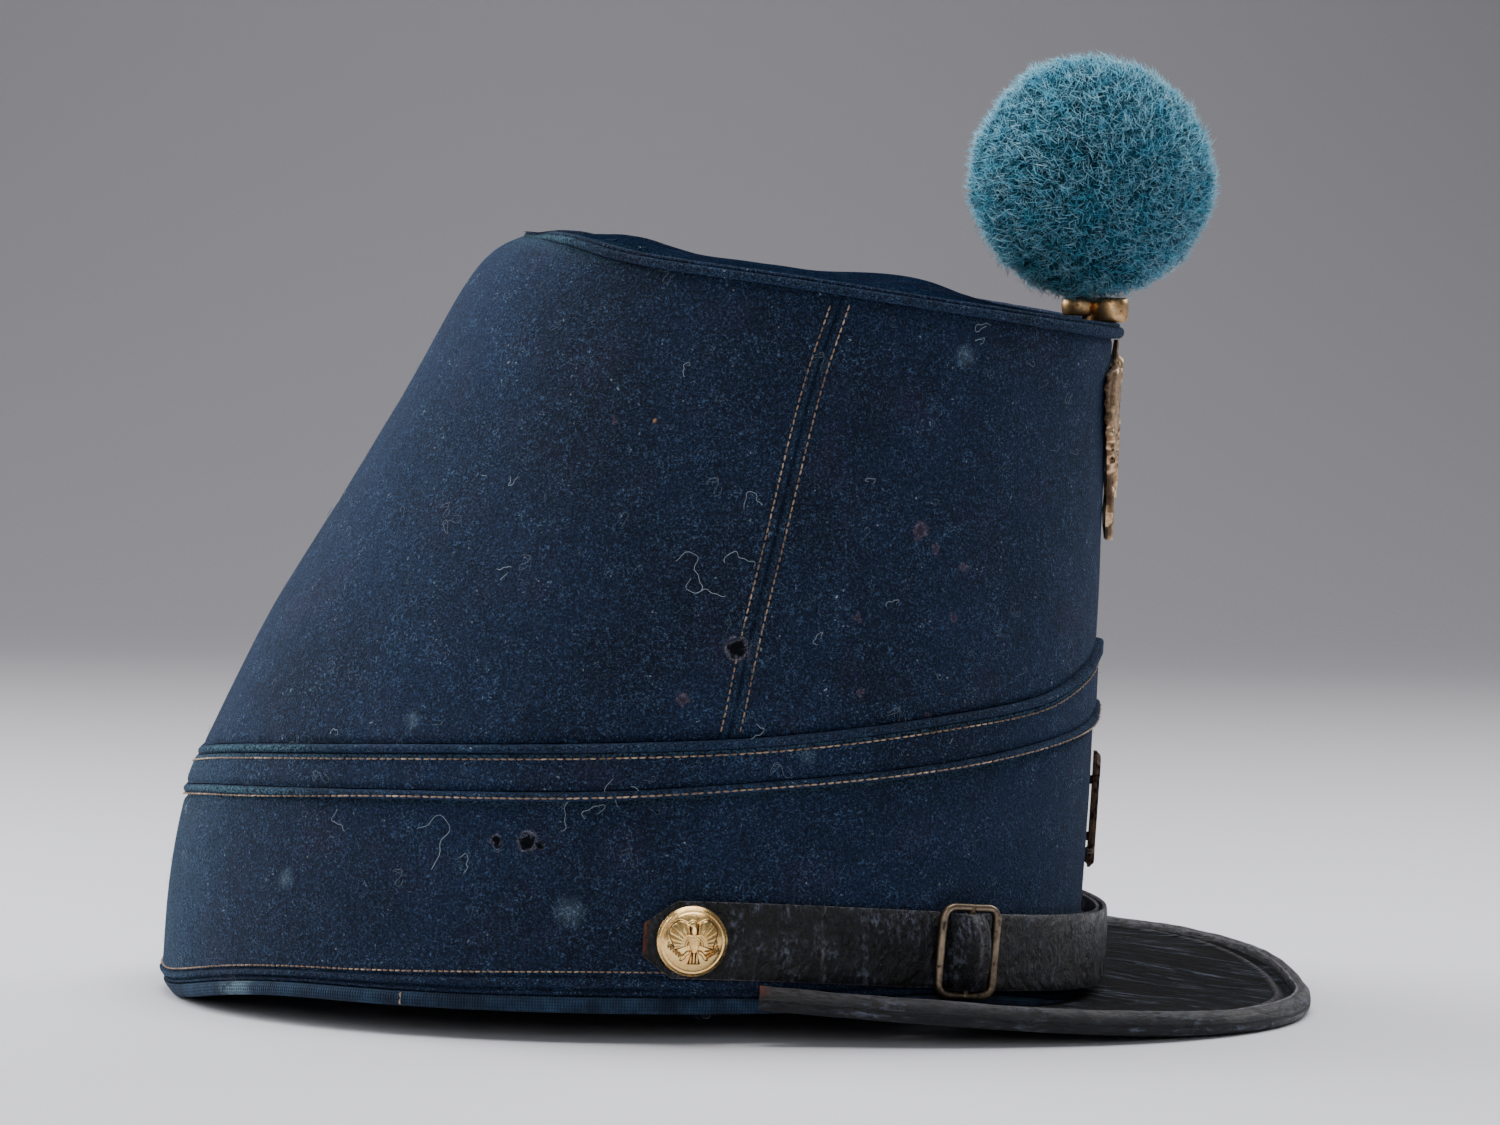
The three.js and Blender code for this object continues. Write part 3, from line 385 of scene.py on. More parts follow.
def shell(name, outer, inner, closed, looks, marks=None, crease=60, start=0.0):
    """A walled piece from a grid of outer and a grid of inner points, stations by rows. start is
    where its UV map begins, in millimetres."""
    s, r = outer.shape[:2]
    q = inner.shape[1]
    points = np.concatenate([outer.reshape(-1, 3), inner.reshape(-1, 3)])
    front = grid(s, r, wrap_rows=closed)
    back = grid(s, q, wrap_rows=closed)[:, ::-1] + s * r
    a = np.arange(s) * r
    b = np.arange(s) * q + s * r
    a2, b2 = np.roll(a, -1), np.roll(b, -1)
    runs = s if closed else s - 1
    low = np.stack([a2, a, b, b2], -1)[:runs]
    high = np.stack([a + r - 1, a2 + r - 1, b2 + q - 1, b + q - 1], -1)[:runs]
    faces = [front, back, low, high]
    if not closed:
        for k, flip in ((0, 1), (s - 1, -1)):
            cap = zipped(np.arange(k * r, k * r + r), np.arange(k * q, k * q + q) + s * r)
            faces.append(cap[:, ::flip])

    def flat(side):
        step = np.linalg.norm(np.diff(side, axis=0), axis=-1)
        u = np.concatenate([np.zeros((1, side.shape[1])), np.cumsum(step, axis=0)])
        rise = np.linalg.norm(np.diff(side, axis=1), axis=-1)
        v = np.concatenate([np.zeros((side.shape[0], 1)), np.cumsum(rise, axis=1)], axis=1)
        whole = u[-1] + np.linalg.norm(side[0] - side[-1], axis=-1)
        return np.stack([u + start, v], -1).reshape(-1, 2), np.broadcast_to(whole, u.shape).ravel()

    uv_a, period_a = flat(outer)
    uv_b, period_b = flat(inner)
    values = {}
    for key, value in (marks or {}).items():
        value = np.broadcast_to(value, (s, r))
        values[key] = np.concatenate([value.ravel(), np.repeat(value[:, 0], q)])
    period = np.concatenate([period_a, period_b]) if closed else None
    return make(name, points, faces, looks, np.concatenate([uv_a, uv_b]), period, values, crease)


def loft(name, stations, closed, looks, marks=None, crease=60):
    """A solid run of cross-sections, stations by points round each, with each end of an open run closed by a
    fan to its middle.
    """
    s, k = stations.shape[:2]
    points = stations.reshape(-1, 3)
    faces = [grid(s, k, wrap_rows=closed, wrap_columns=True)]
    values = {key: np.broadcast_to(v, (s, k)).ravel() for key, v in (marks or {}).items()}
    step = np.linalg.norm(np.diff(stations, axis=0), axis=-1).mean(axis=1)
    u = np.repeat(np.concatenate([[0], np.cumsum(step)]), k)
    ring = np.linalg.norm(np.diff(stations, axis=1), axis=-1)
    v = np.concatenate([np.zeros((s, 1)), np.cumsum(ring, axis=1)], axis=1).ravel()
    period = np.full(len(points), u.max() + step.mean())
    if not closed:
        for at in (0, s - 1):
            centre = len(points)
            points = np.concatenate([points, stations[at].mean(axis=0, keepdims=True)])
            i = np.arange(k) + at * k
            fan = np.stack([i, np.full(k, centre), np.roll(i, -1)], -1)
            faces.append(fan if at == 0 else fan[:, ::-1])
            u, v = np.append(u, u[i].mean()), np.append(v, v[i].mean())
            values = {key: np.append(value, value[i].mean()) for key, value in values.items()}
        period = None
    return make(name, points, faces, looks, np.stack([u, v], -1), period, values, crease)


def merged(name, pieces):
    """Several pieces made one."""
    mesh = bpy.data.meshes.new(name)
    looks = []
    for piece in pieces:
        for look in piece.data.materials:
            if look not in looks:
                looks.append(look)
    whole = bmesh.new()
    for piece in pieces:
        before = len(whole.faces)
        whole.from_mesh(piece.data)
        whole.faces.ensure_lookup_table()
        slots = [looks.index(look) for look in piece.data.materials]
        for face in whole.faces[before:]:
            face.material_index = slots[face.material_index] if slots else 0
        data = piece.data
        bpy.data.objects.remove(piece)
        bpy.data.meshes.remove(data)
    whole.to_mesh(mesh)
    whole.free()
    for look in looks:
        mesh.materials.append(look)
    return link(name, mesh)


def finish_piece(piece, slot, *nodes):
    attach(piece, "root")
    if nodes:
        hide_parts(*nodes)


# Node trees: the kinds of node that come up often, and a colour Mix node's inputs.
NOISE, WAVE = "ShaderNodeTexNoise", "ShaderNodeTexWave"
MATH, VECTOR = "ShaderNodeMath", "ShaderNodeVectorMath"
BUMP, COORD, ATTRIBUTE = "ShaderNodeBump", "ShaderNodeTexCoord", "ShaderNodeAttribute"
RANDOM = "FunctionNodeRandomValue"
MIX_FACTOR, MIX_A, MIX_B = 0, 6, 7
WAVE_BAND = 0.314  # a wave node draws one band each WAVE_BAND / scale


def srgb(code):
    """A linear colour from a hex one."""
    parts = [int(code[i : i + 2], 16) / 255 for i in (1, 3, 5)]
    return tuple(c / 12.92 if c <= 0.04045 else ((c + 0.055) / 1.055) ** 2.4 for c in parts) + (1.0,)


def add(tree, kind, inputs=None, out=None, **settings):
    """Adds a node with its settings and its inputs' values or links, and gives one of its outputs."""
    made = tree.nodes.new(kind)
    for key, value in settings.items():
        setattr(made, key, value)
    for key, value in (inputs or {}).items():
        if isinstance(value, bpy.types.NodeSocket):
            tree.links.new(value, made.inputs[key])
        else:
            made.inputs[key].default_value = value
    if out is not None:
        return made.outputs[out]
    return next((o for o in made.outputs if o.enabled), None)


def new_material(name):
    made = bpy.data.materials.new(name)
    made.use_nodes = True
    made.node_tree.nodes.clear()
    return made, made.node_tree


def surfaced(look, tree, inputs):
    """Ends a material in one surface that covers it all."""
    shader = add(tree, "ShaderNodeBsdfPrincipled", inputs)
    add(tree, "ShaderNodeOutputMaterial", {"Surface": shader})
    return look


def blend(tree, factor, a, b, mode="MIX"):
    """Colour a turned to colour b by a factor."""
    sockets = {MIX_FACTOR: factor, MIX_A: a, MIX_B: b}
    return add(tree, "ShaderNodeMix", sockets, data_type="RGBA", blend_type=mode)


def greyed(tree, colour, grey, amount=1.0):
    """A colour multiplied by a grey."""
    grey = add(tree, "ShaderNodeCombineColor", {0: grey, 1: grey, 2: grey})
    return blend(tree, amount, colour, grey, "MULTIPLY")


def between(tree, value, low, high, start=0.0, end=1.0):
    """A value's smooth step from start to end as it goes from low to high."""
    ends = {"Value": value, "From Min": low, "From Max": high, "To Min": start, "To Max": end}
    return add(tree, "ShaderNodeMapRange", ends, interpolation_type="SMOOTHSTEP")


def place_of(turn, height):
    return tuple((skin(math.radians(turn), height) + HOME) * MM)


def times(tree, *values):
    """The product of several values."""
    total = values[0]
    for value in values[1:]:
        total = add(tree, MATH, {0: total, 1: value}, operation="MULTIPLY")
    return total


def broadcloth(name, colours, spots=(), rust=(), holes=(), scuffs=(), sheen=0.2, shine=0.2):
    """Fulled wool broadcloth, woven fine, felted and worn: a matt navy ground under short pale
    fibres, closer together where it is scuffed, with purple where moths ate the nap."""
    look, tree = new_material(name)
    uv = add(tree, COORD, out="UV")
    here = add(tree, COORD, out="Object")
    dark, ground, nap, faded = colours
    broad = add(tree, NOISE, {"Vector": here, "Scale": 26.0, "Detail": 4.0, "Roughness": 0.6})
    patch = add(tree, NOISE, {"Vector": here, "Scale": 150.0, "Detail": 6.0, "Roughness": 0.72})
    # Felted fibres half a millimetre apart: bright worms where a noise passes its middle value.
    fibre = add(tree, NOISE, {"Vector": here, "Scale": 2000.0, "Detail": 2.0, "Roughness": 0.6})
    worm = add(tree, NOISE, {"Vector": here, "Scale": 1400.0, "Detail": 1.0, "Distortion": 0.6})
    worm = add(tree, MATH, {0: worm, 1: 0.5}, operation="SUBTRACT")
    worm = add(tree, MATH, {0: worm}, operation="ABSOLUTE")
    worm = between(tree, worm, 0.065, 0.0)
    # Twill ribs 0.6 mm apart, coarser than the real ones so that they show.
    slant = add(tree, "ShaderNodeMapping", {"Vector": uv, "Rotation": (0, 0, 0.5)})
    bands = {"Scale": WAVE_BAND / 0.0006, "Distortion": 6.0, "Detail": 3.0, "Detail Scale": 3.0}
    twill = add(tree, WAVE, {"Vector": slant, **bands})
    colour = blend(tree, between(tree, broad, 0.3, 0.7), dark, ground)
    violet = add(tree, NOISE, {"Vector": here, "Scale": 60.0, "Detail": 3.0, "W": 3.0}, noise_dimensions="4D")
    colour = blend(tree, between(tree, violet, 0.5, 0.75, 0.0, 0.45), colour, srgb("#2a2238"))
    shade = between(tree, fibre, 0.34, 0.62, 0.42, 1.35)
    colour = greyed(tree, colour, shade)
    worn = between(tree, patch, 0.34, 0.72, 0.4, 1.0)
    colour = blend(tree, times(tree, worm, worn, between(tree, fibre, 0.4, 0.6)), colour, nap)
    rib = between(tree, twill, 0.1, 0.9, 0.75, 1.05)
    colour = greyed(tree, colour, rib, 0.4)
    # Dust, pale flecks a fifth of a millimetre across, and scuffed places where the nap is white.
    fleck = add(tree, NOISE, {"Vector": here, "Scale": 1500.0, "Detail": 0.0})
    flecks = times(tree, between(tree, fleck, 0.79, 0.82), between(tree, patch, 0.46, 0.66))
    colour = blend(tree, flecks, colour, srgb("#9aabb8"))
    scuffed = times(tree, between(tree, patch, 0.58, 0.76), worm, 0.75)
    colour = blend(tree, scuffed, colour, srgb("#6c8ba3"))
    wear = add(tree, ATTRIBUTE, out="Fac", attribute_name="wear")
    colour = blend(tree, times(tree, wear, between(tree, fibre, 0.42, 0.6)), colour, faded)
    ragged = add(tree, NOISE, {"Vector": here, "Scale": 620.0, "Detail": 3.0}, out="Color")
    shifted = add(tree, VECTOR, {0: ragged, "Scale": 0.003}, operation="SCALE")
    torn_at = add(tree, VECTOR, {0: here, 1: shifted}, operation="ADD")
    offset = 0.0015  # the mean of that shift

    def reach(group, inner, outer):
        """1 within inner shares of each mark's radius, 0 beyond outer shares."""
        total = None
        for turn, height, radius in group:
            middle = [c + offset for c in place_of(turn, height)]
            far = add(tree, VECTOR, {0: torn_at, 1: middle}, out="Value", operation="DISTANCE")
            near = between(tree, far, radius * MM * outer, radius * MM * inner)
            total = near if total is None else add(tree, MATH, {0: total, 1: near}, operation="MAXIMUM")
        return total

    for group, tint, strength, inner, outer, broken in (
        (scuffs, "#7d95a8", 0.7, 0.0, 1.0, worm),
        (spots, "#8a7688", 0.7, 0.7, 1.1, worm),
        (spots, "#2a1c2c", 0.75, 0.3, 0.75, None),
        (rust, "#b98f60", 0.9, 0.3, 0.9, None),
        (holes, "#9a95a0", 0.9, 1.0, 1.4, worm),
        # The near-black inside each hole is painted shade of the hat's dark inside.
        (holes, "#0a090c", 1.0, 0.9, 1.04, None),
    ):
        if group:
            amount = times(tree, reach(group, inner, outer), strength)
            if broken is not None:
                amount = times(tree, amount, between(tree, broken, 0.0, 0.6, 0.25, 1.0))
            colour = blend(tree, amount, colour, srgb(tint))
    height = add(tree, MATH, {0: worm, 1: 0.4, 2: fibre}, operation="MULTIPLY_ADD")
    normal = add(tree, BUMP, {"Strength": 1.0, "Distance": 0.0007, "Height": height})
    normal = add(tree, BUMP, {"Strength": 0.5, "Distance": 0.0024, "Height": patch, "Normal": normal})
    inputs = {
        "Base Color": colour,
        "Roughness": 0.92,
        "Specular IOR Level": shine,
        "Sheen Weight": sheen,
        "Sheen Roughness": 0.45,
        "Sheen Tint": srgb("#587fb4"),
        "Normal": normal,
    }
    return surfaced(look, tree, inputs)


def ribbed_braid(name, colour_hex, worn_hex):
    """Ribbed wool and cotton binding braid, woven in fine cords across its run: matt, with a dark
    line between cords and pale threads where it has rubbed."""
    look, tree = new_material(name)
    uv = add(tree, COORD, out="UV")
    here = add(tree, COORD, out="Object")
    # Cords 0.6 mm apart.
    bands = {"Scale": WAVE_BAND / 0.0006, "Distortion": 2.0, "Detail": 2.0, "Detail Scale": 1.5}
    cord = add(tree, WAVE, {"Vector": uv, **bands})
    bands = {"Scale": WAVE_BAND / 0.0007, "Distortion": 2.0}
    cross = add(tree, WAVE, {"Vector": uv, **bands}, bands_direction="Y")
    fibre = add(tree, NOISE, {"Vector": here, "Scale": 1600.0, "Detail": 3.0})
    patch = add(tree, NOISE, {"Vector": here, "Scale": 120.0, "Detail": 5.0, "Roughness": 0.7})
    wear = add(tree, ATTRIBUTE, out="Fac", attribute_name="wear")
    colour = blend(tree, between(tree, patch, 0.35, 0.7), srgb(colour_hex), srgb(worn_hex))
    rubbed = add(tree, MATH, {0: wear, 1: between(tree, patch, 0.38, 0.55)}, operation="MULTIPLY")
    colour = blend(tree, rubbed, colour, srgb("#7f9aa6"))
    shade = add(tree, MATH, {0: cord, 1: cross}, operation="ADD")
    shade = between(tree, shade, 0.3, 1.5, 0.35, 1.25)
    colour = greyed(tree, colour, shade)
    height = add(tree, MATH, {0: fibre, 1: 0.3, 2: cord}, operation="MULTIPLY_ADD")
    normal = add(tree, BUMP, {"Strength": 0.8, "Distance": 0.0003, "Height": height})
    inputs = {
        "Base Color": colour,
        "Roughness": 0.9,
        "Specular IOR Level": 0.15,
        "Sheen Weight": 0.03,
        "Sheen Roughness": 0.5,
        "Normal": normal,
    }
    return surfaced(look, tree, inputs)


def black_leather(name, colours, stretch, gloss, crease_scale, crease_depth, shine=0.45):
    """Vegetable-tanned cowhide, waxed or varnished black: a low broken gloss, fine creases that
    show grey where the finish has gone, and raw red-brown hide at the cut ends."""
    look, tree = new_material(name)
    here = add(tree, COORD, out="Object")
    uv = add(tree, COORD, out="UV")
    deep, ground, pale = colours
    drawn = add(tree, "ShaderNodeMapping", {"Vector": uv, "Scale": stretch})
    grain = add(tree, NOISE, {"Vector": drawn, "Scale": 900.0, "Detail": 5.0, "Roughness": 0.7})
    patch = add(tree, NOISE, {"Vector": drawn, "Scale": 170.0, "Detail": 7.0, "Roughness": 0.7})
    bent = add(tree, NOISE, {"Vector": here, "Scale": 420.0, "Detail": 4.0}, out="Color")
    bent = add(tree, VECTOR, {0: bent, "Scale": 0.003}, operation="SCALE")
    bent = add(tree, VECTOR, {0: drawn, 1: bent}, operation="ADD")
    cells = {"Vector": bent, "Scale": crease_scale}
    cell = add(tree, "ShaderNodeTexVoronoi", cells, out="Distance", feature="DISTANCE_TO_EDGE")
    crease = times(tree, between(tree, cell, 0.05, 0.0), between(tree, patch, 0.46, 0.62))
    colour = blend(tree, between(tree, patch, 0.35, 0.7), deep, ground)
    # Pale grain specks: partly rubbed grain, partly painted highlight of the broken gloss.
    colour = blend(tree, between(tree, grain, 0.5, 0.68, 0.0, 0.65), colour, pale)
    colour = blend(tree, times(tree, crease, 0.28), colour, srgb("#5f636c"))
    # Pale scuffs: partly wear, partly painted highlight specks of the gloss.
    scuff_and_highlight = times(tree, between(tree, patch, 0.49, 0.62), between(tree, grain, 0.48, 0.58), 0.8)
    colour = blend(tree, scuff_and_highlight, colour, srgb("#646b7c"))
    rubbed = add(tree, ATTRIBUTE, out="Fac", attribute_name="rubbed")
    colour = blend(tree, times(tree, rubbed, between(tree, grain, 0.36, 0.56)), colour, srgb("#77747a"))
    raw = add(tree, ATTRIBUTE, out="Fac", attribute_name="raw")
    bare = times(tree, raw, between(tree, grain, 0.4, 0.55))
    hide = blend(tree, between(tree, patch, 0.4, 0.6), srgb("#4a2018"), srgb("#a9552d"))
    colour = blend(tree, bare, colour, hide)
    rough = between(tree, patch, 0.38, 0.62, gloss, gloss + 0.3)
    rough = add(tree, MATH, {0: between(tree, grain, 0.45, 0.7), 1: 0.2, 2: rough}, operation="MULTIPLY_ADD")
    rough = add(tree, MATH, {0: bare, 1: 0.4, 2: rough}, operation="MULTIPLY_ADD", use_clamp=True)
    height = add(tree, MATH, {0: crease, 1: -crease_depth, 2: grain}, operation="MULTIPLY_ADD")
    normal = add(tree, BUMP, {"Strength": 1.0, "Distance": 0.0006, "Height": height})
    normal = add(tree, BUMP, {"Strength": 1.0, "Distance": 0.0032, "Height": patch, "Normal": normal})
    inputs = {
        "Base Color": colour,
        "Roughness": rough,
        "Specular IOR Level": shine,
        "IOR": 1.5,
        "Normal": normal,
    }
    return surfaced(look, tree, inputs)


def brass(name, bright_hex, aged_hex, tarnish_hex, polish, tarnish):
    """Sheet brass, stamped or cast and once gilt or lacquered: metal with a warm soft gloss on
    what stands proud, browner and rougher tarnish in its hollows, and fine handling scratches."""
    look, tree = new_material(name)
    here = add(tree, COORD, out="Object")
    patch = add(tree, NOISE, {"Vector": here, "Scale": 700.0, "Detail": 5.0, "Roughness": 0.65})
    fine = add(tree, NOISE, {"Vector": here, "Scale": 2600.0, "Detail": 3.0})
    course = {"Vector": here, "Scale": (1.0, 1.0, 7.0), "Rotation": (0.3, 0.5, 0.4)}
    drawn = add(tree, "ShaderNodeMapping", course)
    scratch = add(tree, NOISE, {"Vector": drawn, "Scale": 900.0, "Detail": 2.0})
    hollow = add(tree, ATTRIBUTE, out="Fac", attribute_name="hollow")
    colour = blend(tree, between(tree, patch, 0.35, 0.68), srgb(bright_hex), srgb(aged_hex))
    spotted = between(tree, patch, 0.66 - tarnish * 0.4, 0.8 - tarnish * 0.3)
    dirt = add(tree, MATH, {0: hollow, 1: spotted}, operation="MAXIMUM")
    colour = blend(tree, dirt, colour, srgb(tarnish_hex))
    rough = between(tree, patch, 0.3, 0.75, polish, polish + 0.16)
    rough = add(tree, MATH, {0: dirt, 1: 0.3, 2: rough}, operation="MULTIPLY_ADD", use_clamp=True)
    height = add(tree, MATH, {0: scratch, 1: 0.35, 2: fine}, operation="MULTIPLY_ADD")
    normal = add(tree, BUMP, {"Strength": 0.22, "Distance": 0.0001, "Height": height})
    inputs = {"Base Color": colour, "Roughness": rough, "Metallic": 1.0, "Normal": normal}
    return surfaced(look, tree, inputs)


def cut_wool(name, shaded_root_hex, tip_hex, light_hex):
    """Cut wool yarn, combed out and clipped to a ball: matt fibres, with painted shade that darkens them down
    in the pile and towards their roots, and painted light that turns some tips pale as if light passed
    through them."""
    look, tree = new_material(name)
    here = add(tree, COORD, out="Object")
    depth = add(tree, ATTRIBUTE, out="Fac", attribute_name="depth")
    shade = add(tree, ATTRIBUTE, out="Fac", attribute_name="shade")
    clump = add(tree, NOISE, {"Vector": here, "Scale": 260.0, "Detail": 3.0})
    middle = tuple((BALL_CENTRE + HOME) * MM)
    far = add(tree, VECTOR, {0: here, 1: middle}, out="Value", operation="DISTANCE")
    skin_deep = POMPOM_DIAMETER / 2 * MM
    # Painted shade: the root colour deep in the pile and low on each fibre, the tip colour at the surface.
    deep = between(tree, far, skin_deep - 0.0042, skin_deep - 0.0004)
    amount = times(tree, deep, between(tree, depth, 0.0, 0.7, 0.5, 1.0))
    colour = blend(tree, amount, srgb(shaded_root_hex), srgb(tip_hex))
    # Painted light: pale tips where light would pass through the fibres.
    pale = add(tree, MATH, {0: shade, 1: between(tree, clump, 0.3, 0.62)}, operation="MULTIPLY")
    pale = times(tree, pale, depth, deep)
    colour = blend(tree, pale, colour, srgb(light_hex))
    inputs = {
        "Base Color": colour,
        "Roughness": 0.8,
        "Specular IOR Level": 0.2,
        "Sheen Weight": 0.1,
        "Sheen Roughness": 0.4,
        "Sheen Tint": srgb("#7fbcd2"),
    }
    return surfaced(look, tree, inputs)


def thread_look(name, colour_hex, faded_hex):
    """Two-ply silk and linen sewing thread, dyed brown and faded unevenly: a slight lustre."""
    look, tree = new_material(name)
    here = add(tree, COORD, out="Object")
    shade = add(tree, ATTRIBUTE, out="Fac", attribute_name="shade")
    run = add(tree, NOISE, {"Vector": here, "Scale": 60.0, "Detail": 2.0})
    ply = add(tree, WAVE, {"Vector": here, "Scale": 900.0, "Distortion": 1.0}, bands_direction="DIAGONAL")
    tint = add(tree, MATH, {0: shade, 1: between(tree, run, 0.3, 0.7)}, operation="MULTIPLY")
    colour = blend(tree, tint, srgb(colour_hex), srgb(faded_hex))
    normal = add(tree, BUMP, {"Strength": 0.4, "Distance": 0.0001, "Height": ply})
    inputs = {"Base Color": colour, "Roughness": 0.6, "Sheen Weight": 0.2, "Normal": normal}
    return surfaced(look, tree, inputs)


def lint_look(name, colour_hex, pale_hex):
    """Loose wool and cotton lint: matt, thin, from the cloth's blue to nearly white."""
    look, tree = new_material(name)
    shade = add(tree, ATTRIBUTE, out="Fac", attribute_name="shade")
    here = add(tree, COORD, out="Object")
    vary = add(tree, NOISE, {"Vector": here, "Scale": 200.0})
    colour = blend(tree, shade, srgb(colour_hex), srgb(pale_hex))
    rough = between(tree, vary, 0.3, 0.7, 0.7, 0.95)
    return surfaced(look, tree, {"Base Color": colour, "Roughness": rough})


def paper_sweep(name, near_hex, shaded_wall_hex):
    """Matt paper on the floor and up the back wall of a studio, with painted shade: greyer where it climbs,
    and on the wall darker towards +X.
    """
    look, tree = new_material(name)
    here = add(tree, COORD, out="Object")
    parts = tree.nodes.new("ShaderNodeSeparateXYZ")
    tree.links.new(here, parts.inputs[0])
    back = between(tree, parts.outputs["Y"], -0.1, 1.15)
    tooth = add(tree, NOISE, {"Vector": here, "Scale": 900.0, "Detail": 2.0})
    # Painted shade: the wall darkens towards +X.
    right = between(tree, parts.outputs["X"], -0.15, 0.6, 1.0, 0.72)
    wall = greyed(tree, srgb(shaded_wall_hex), right)
    colour = blend(tree, back, srgb(near_hex), wall)
    rough = between(tree, tooth, 0.3, 0.7, 0.6, 0.75)
    return surfaced(look, tree, {"Base Color": colour, "Roughness": rough, "Specular IOR Level": 0.25})


def colour_setting(name, description, code):
    return bpy.props.FloatVectorProperty(
        name=name, description=description, subtype="COLOR", size=4, min=0, max=1, default=srgb(code)
    )


class ShakoCloth(bpy.types.PropertyGroup):
    dark: colour_setting("Dark", "Navy in the folds and where little light falls", "#0b1529")
    ground: colour_setting("Ground", "Navy of the cloth itself", "#14243f")
    nap: colour_setting("Nap", "Paler fibres of the raised nap", "#5b7ba3")
    faded: colour_setting("Faded", "Teal of the rubbed edges", "#4c7480")
    swell: bpy.props.FloatProperty(
        name="Swell",
        description="How far the old cloth swells and sinks",
        default=0.0005,
        unit="LENGTH",
        min=0,
        max=0.003,
    )


class ShakoLeather(bpy.types.PropertyGroup):
    deep: colour_setting("Deep", "Black of the hollows", "#040507")
    ground: colour_setting("Ground", "Black of the finish", "#0b0d13")
    # The pale grey is partly rubbed grain and partly painted highlight.
    pale: colour_setting("Pale", "Grey of the rubbed grain", "#343842")


class ShakoPompom(bpy.types.PropertyGroup):
    fibres: bpy.props.IntProperty(
        name="Fibres", description="Fibres in each third of the ball", default=10500, min=100, max=24000
    )
    pile: bpy.props.FloatProperty(
        name="Pile",
        description="Length of the loose fibres",
        default=0.0037,
        unit="LENGTH",
        min=0.001,
        max=0.015,
    )
    seed: bpy.props.IntProperty(name="Seed", description="Scatter of the fibres", default=4)


class ShakoStitching(bpy.types.PropertyGroup):
    thickness: bpy.props.FloatProperty(
        name="Thread",
        description="Thickness of the sewing thread",
        default=0.0004,
        unit="LENGTH",
        min=0.0001,
        max=0.002,
    )
    seed: bpy.props.IntProperty(name="Seed", description="Unevenness of the stitches", default=7)


class ShakoStage(bpy.types.PropertyGroup):
    key: bpy.props.FloatProperty(
        name="Sides", description="Power of the two side lights", default=16.0, unit="POWER"
    )
    above: bpy.props.FloatProperty(
        name="Above", description="Power of the overhead light", default=26.0, unit="POWER"
    )
    fill: bpy.props.FloatProperty(
        name="Fill", description="Power of the front fill light", default=7.0, unit="POWER"
    )
    ambient: bpy.props.FloatProperty(name="Room", description="Strength of the room's light", default=0.28)


SETTINGS = {
    "shako_cloth": ShakoCloth,
    "shako_leather": ShakoLeather,
    "shako_pompom": ShakoPompom,
    "shako_stitching": ShakoStitching,
    "shako_stage": ShakoStage,
}


def cloth_colours(scene):
    c = scene.shako_cloth
    return tuple(c.dark), tuple(c.ground), tuple(c.nap), tuple(c.faded)


def leather_colours(scene):
    c = scene.shako_leather
    return tuple(c.deep), tuple(c.ground), tuple(c.pale)


# The cloth body.
def dents(points, holes):
    """Relief of the moth holes: sunk through the nap, with a slightly raised lip."""
    out = np.zeros(points.shape[:-1])
    for turn, height, radius in holes:
        centre = skin(math.radians(turn), height)
        far = np.linalg.norm(points - centre, axis=-1)
        far = far * (1 + 0.16 * noise(points, 0.9, 5))
        out -= 1.1 * (1 - smooth(far, 0.7 * radius, 1.15 * radius))
        out += 0.16 * ridge(far, 1.45 * radius, 0.35 * radius)
    return out


def swells(points, amount):
    return amount * (noise(points, 44, 1) + 0.5 * noise(points, 17, 2) + 0.12 * noise(points, 5.5, 3))


def edge_turn(distance, sink, width):
    """Relief of an edge that turns down into its seam."""
    return -sink * ridge(distance, 0, width)


# Sizes that set only how fine the meshes of the cloth are.
PANEL_HEIGHT, HOLE_UP = 98.0, 20.0
FRONT_PANEL_LENGTH, BACK_PANEL_LENGTH = 250.0, 290.0
BAND_RADIUS, BAND_HEIGHT, STRIP_HEIGHT = 93.0, 48.0, 12.0


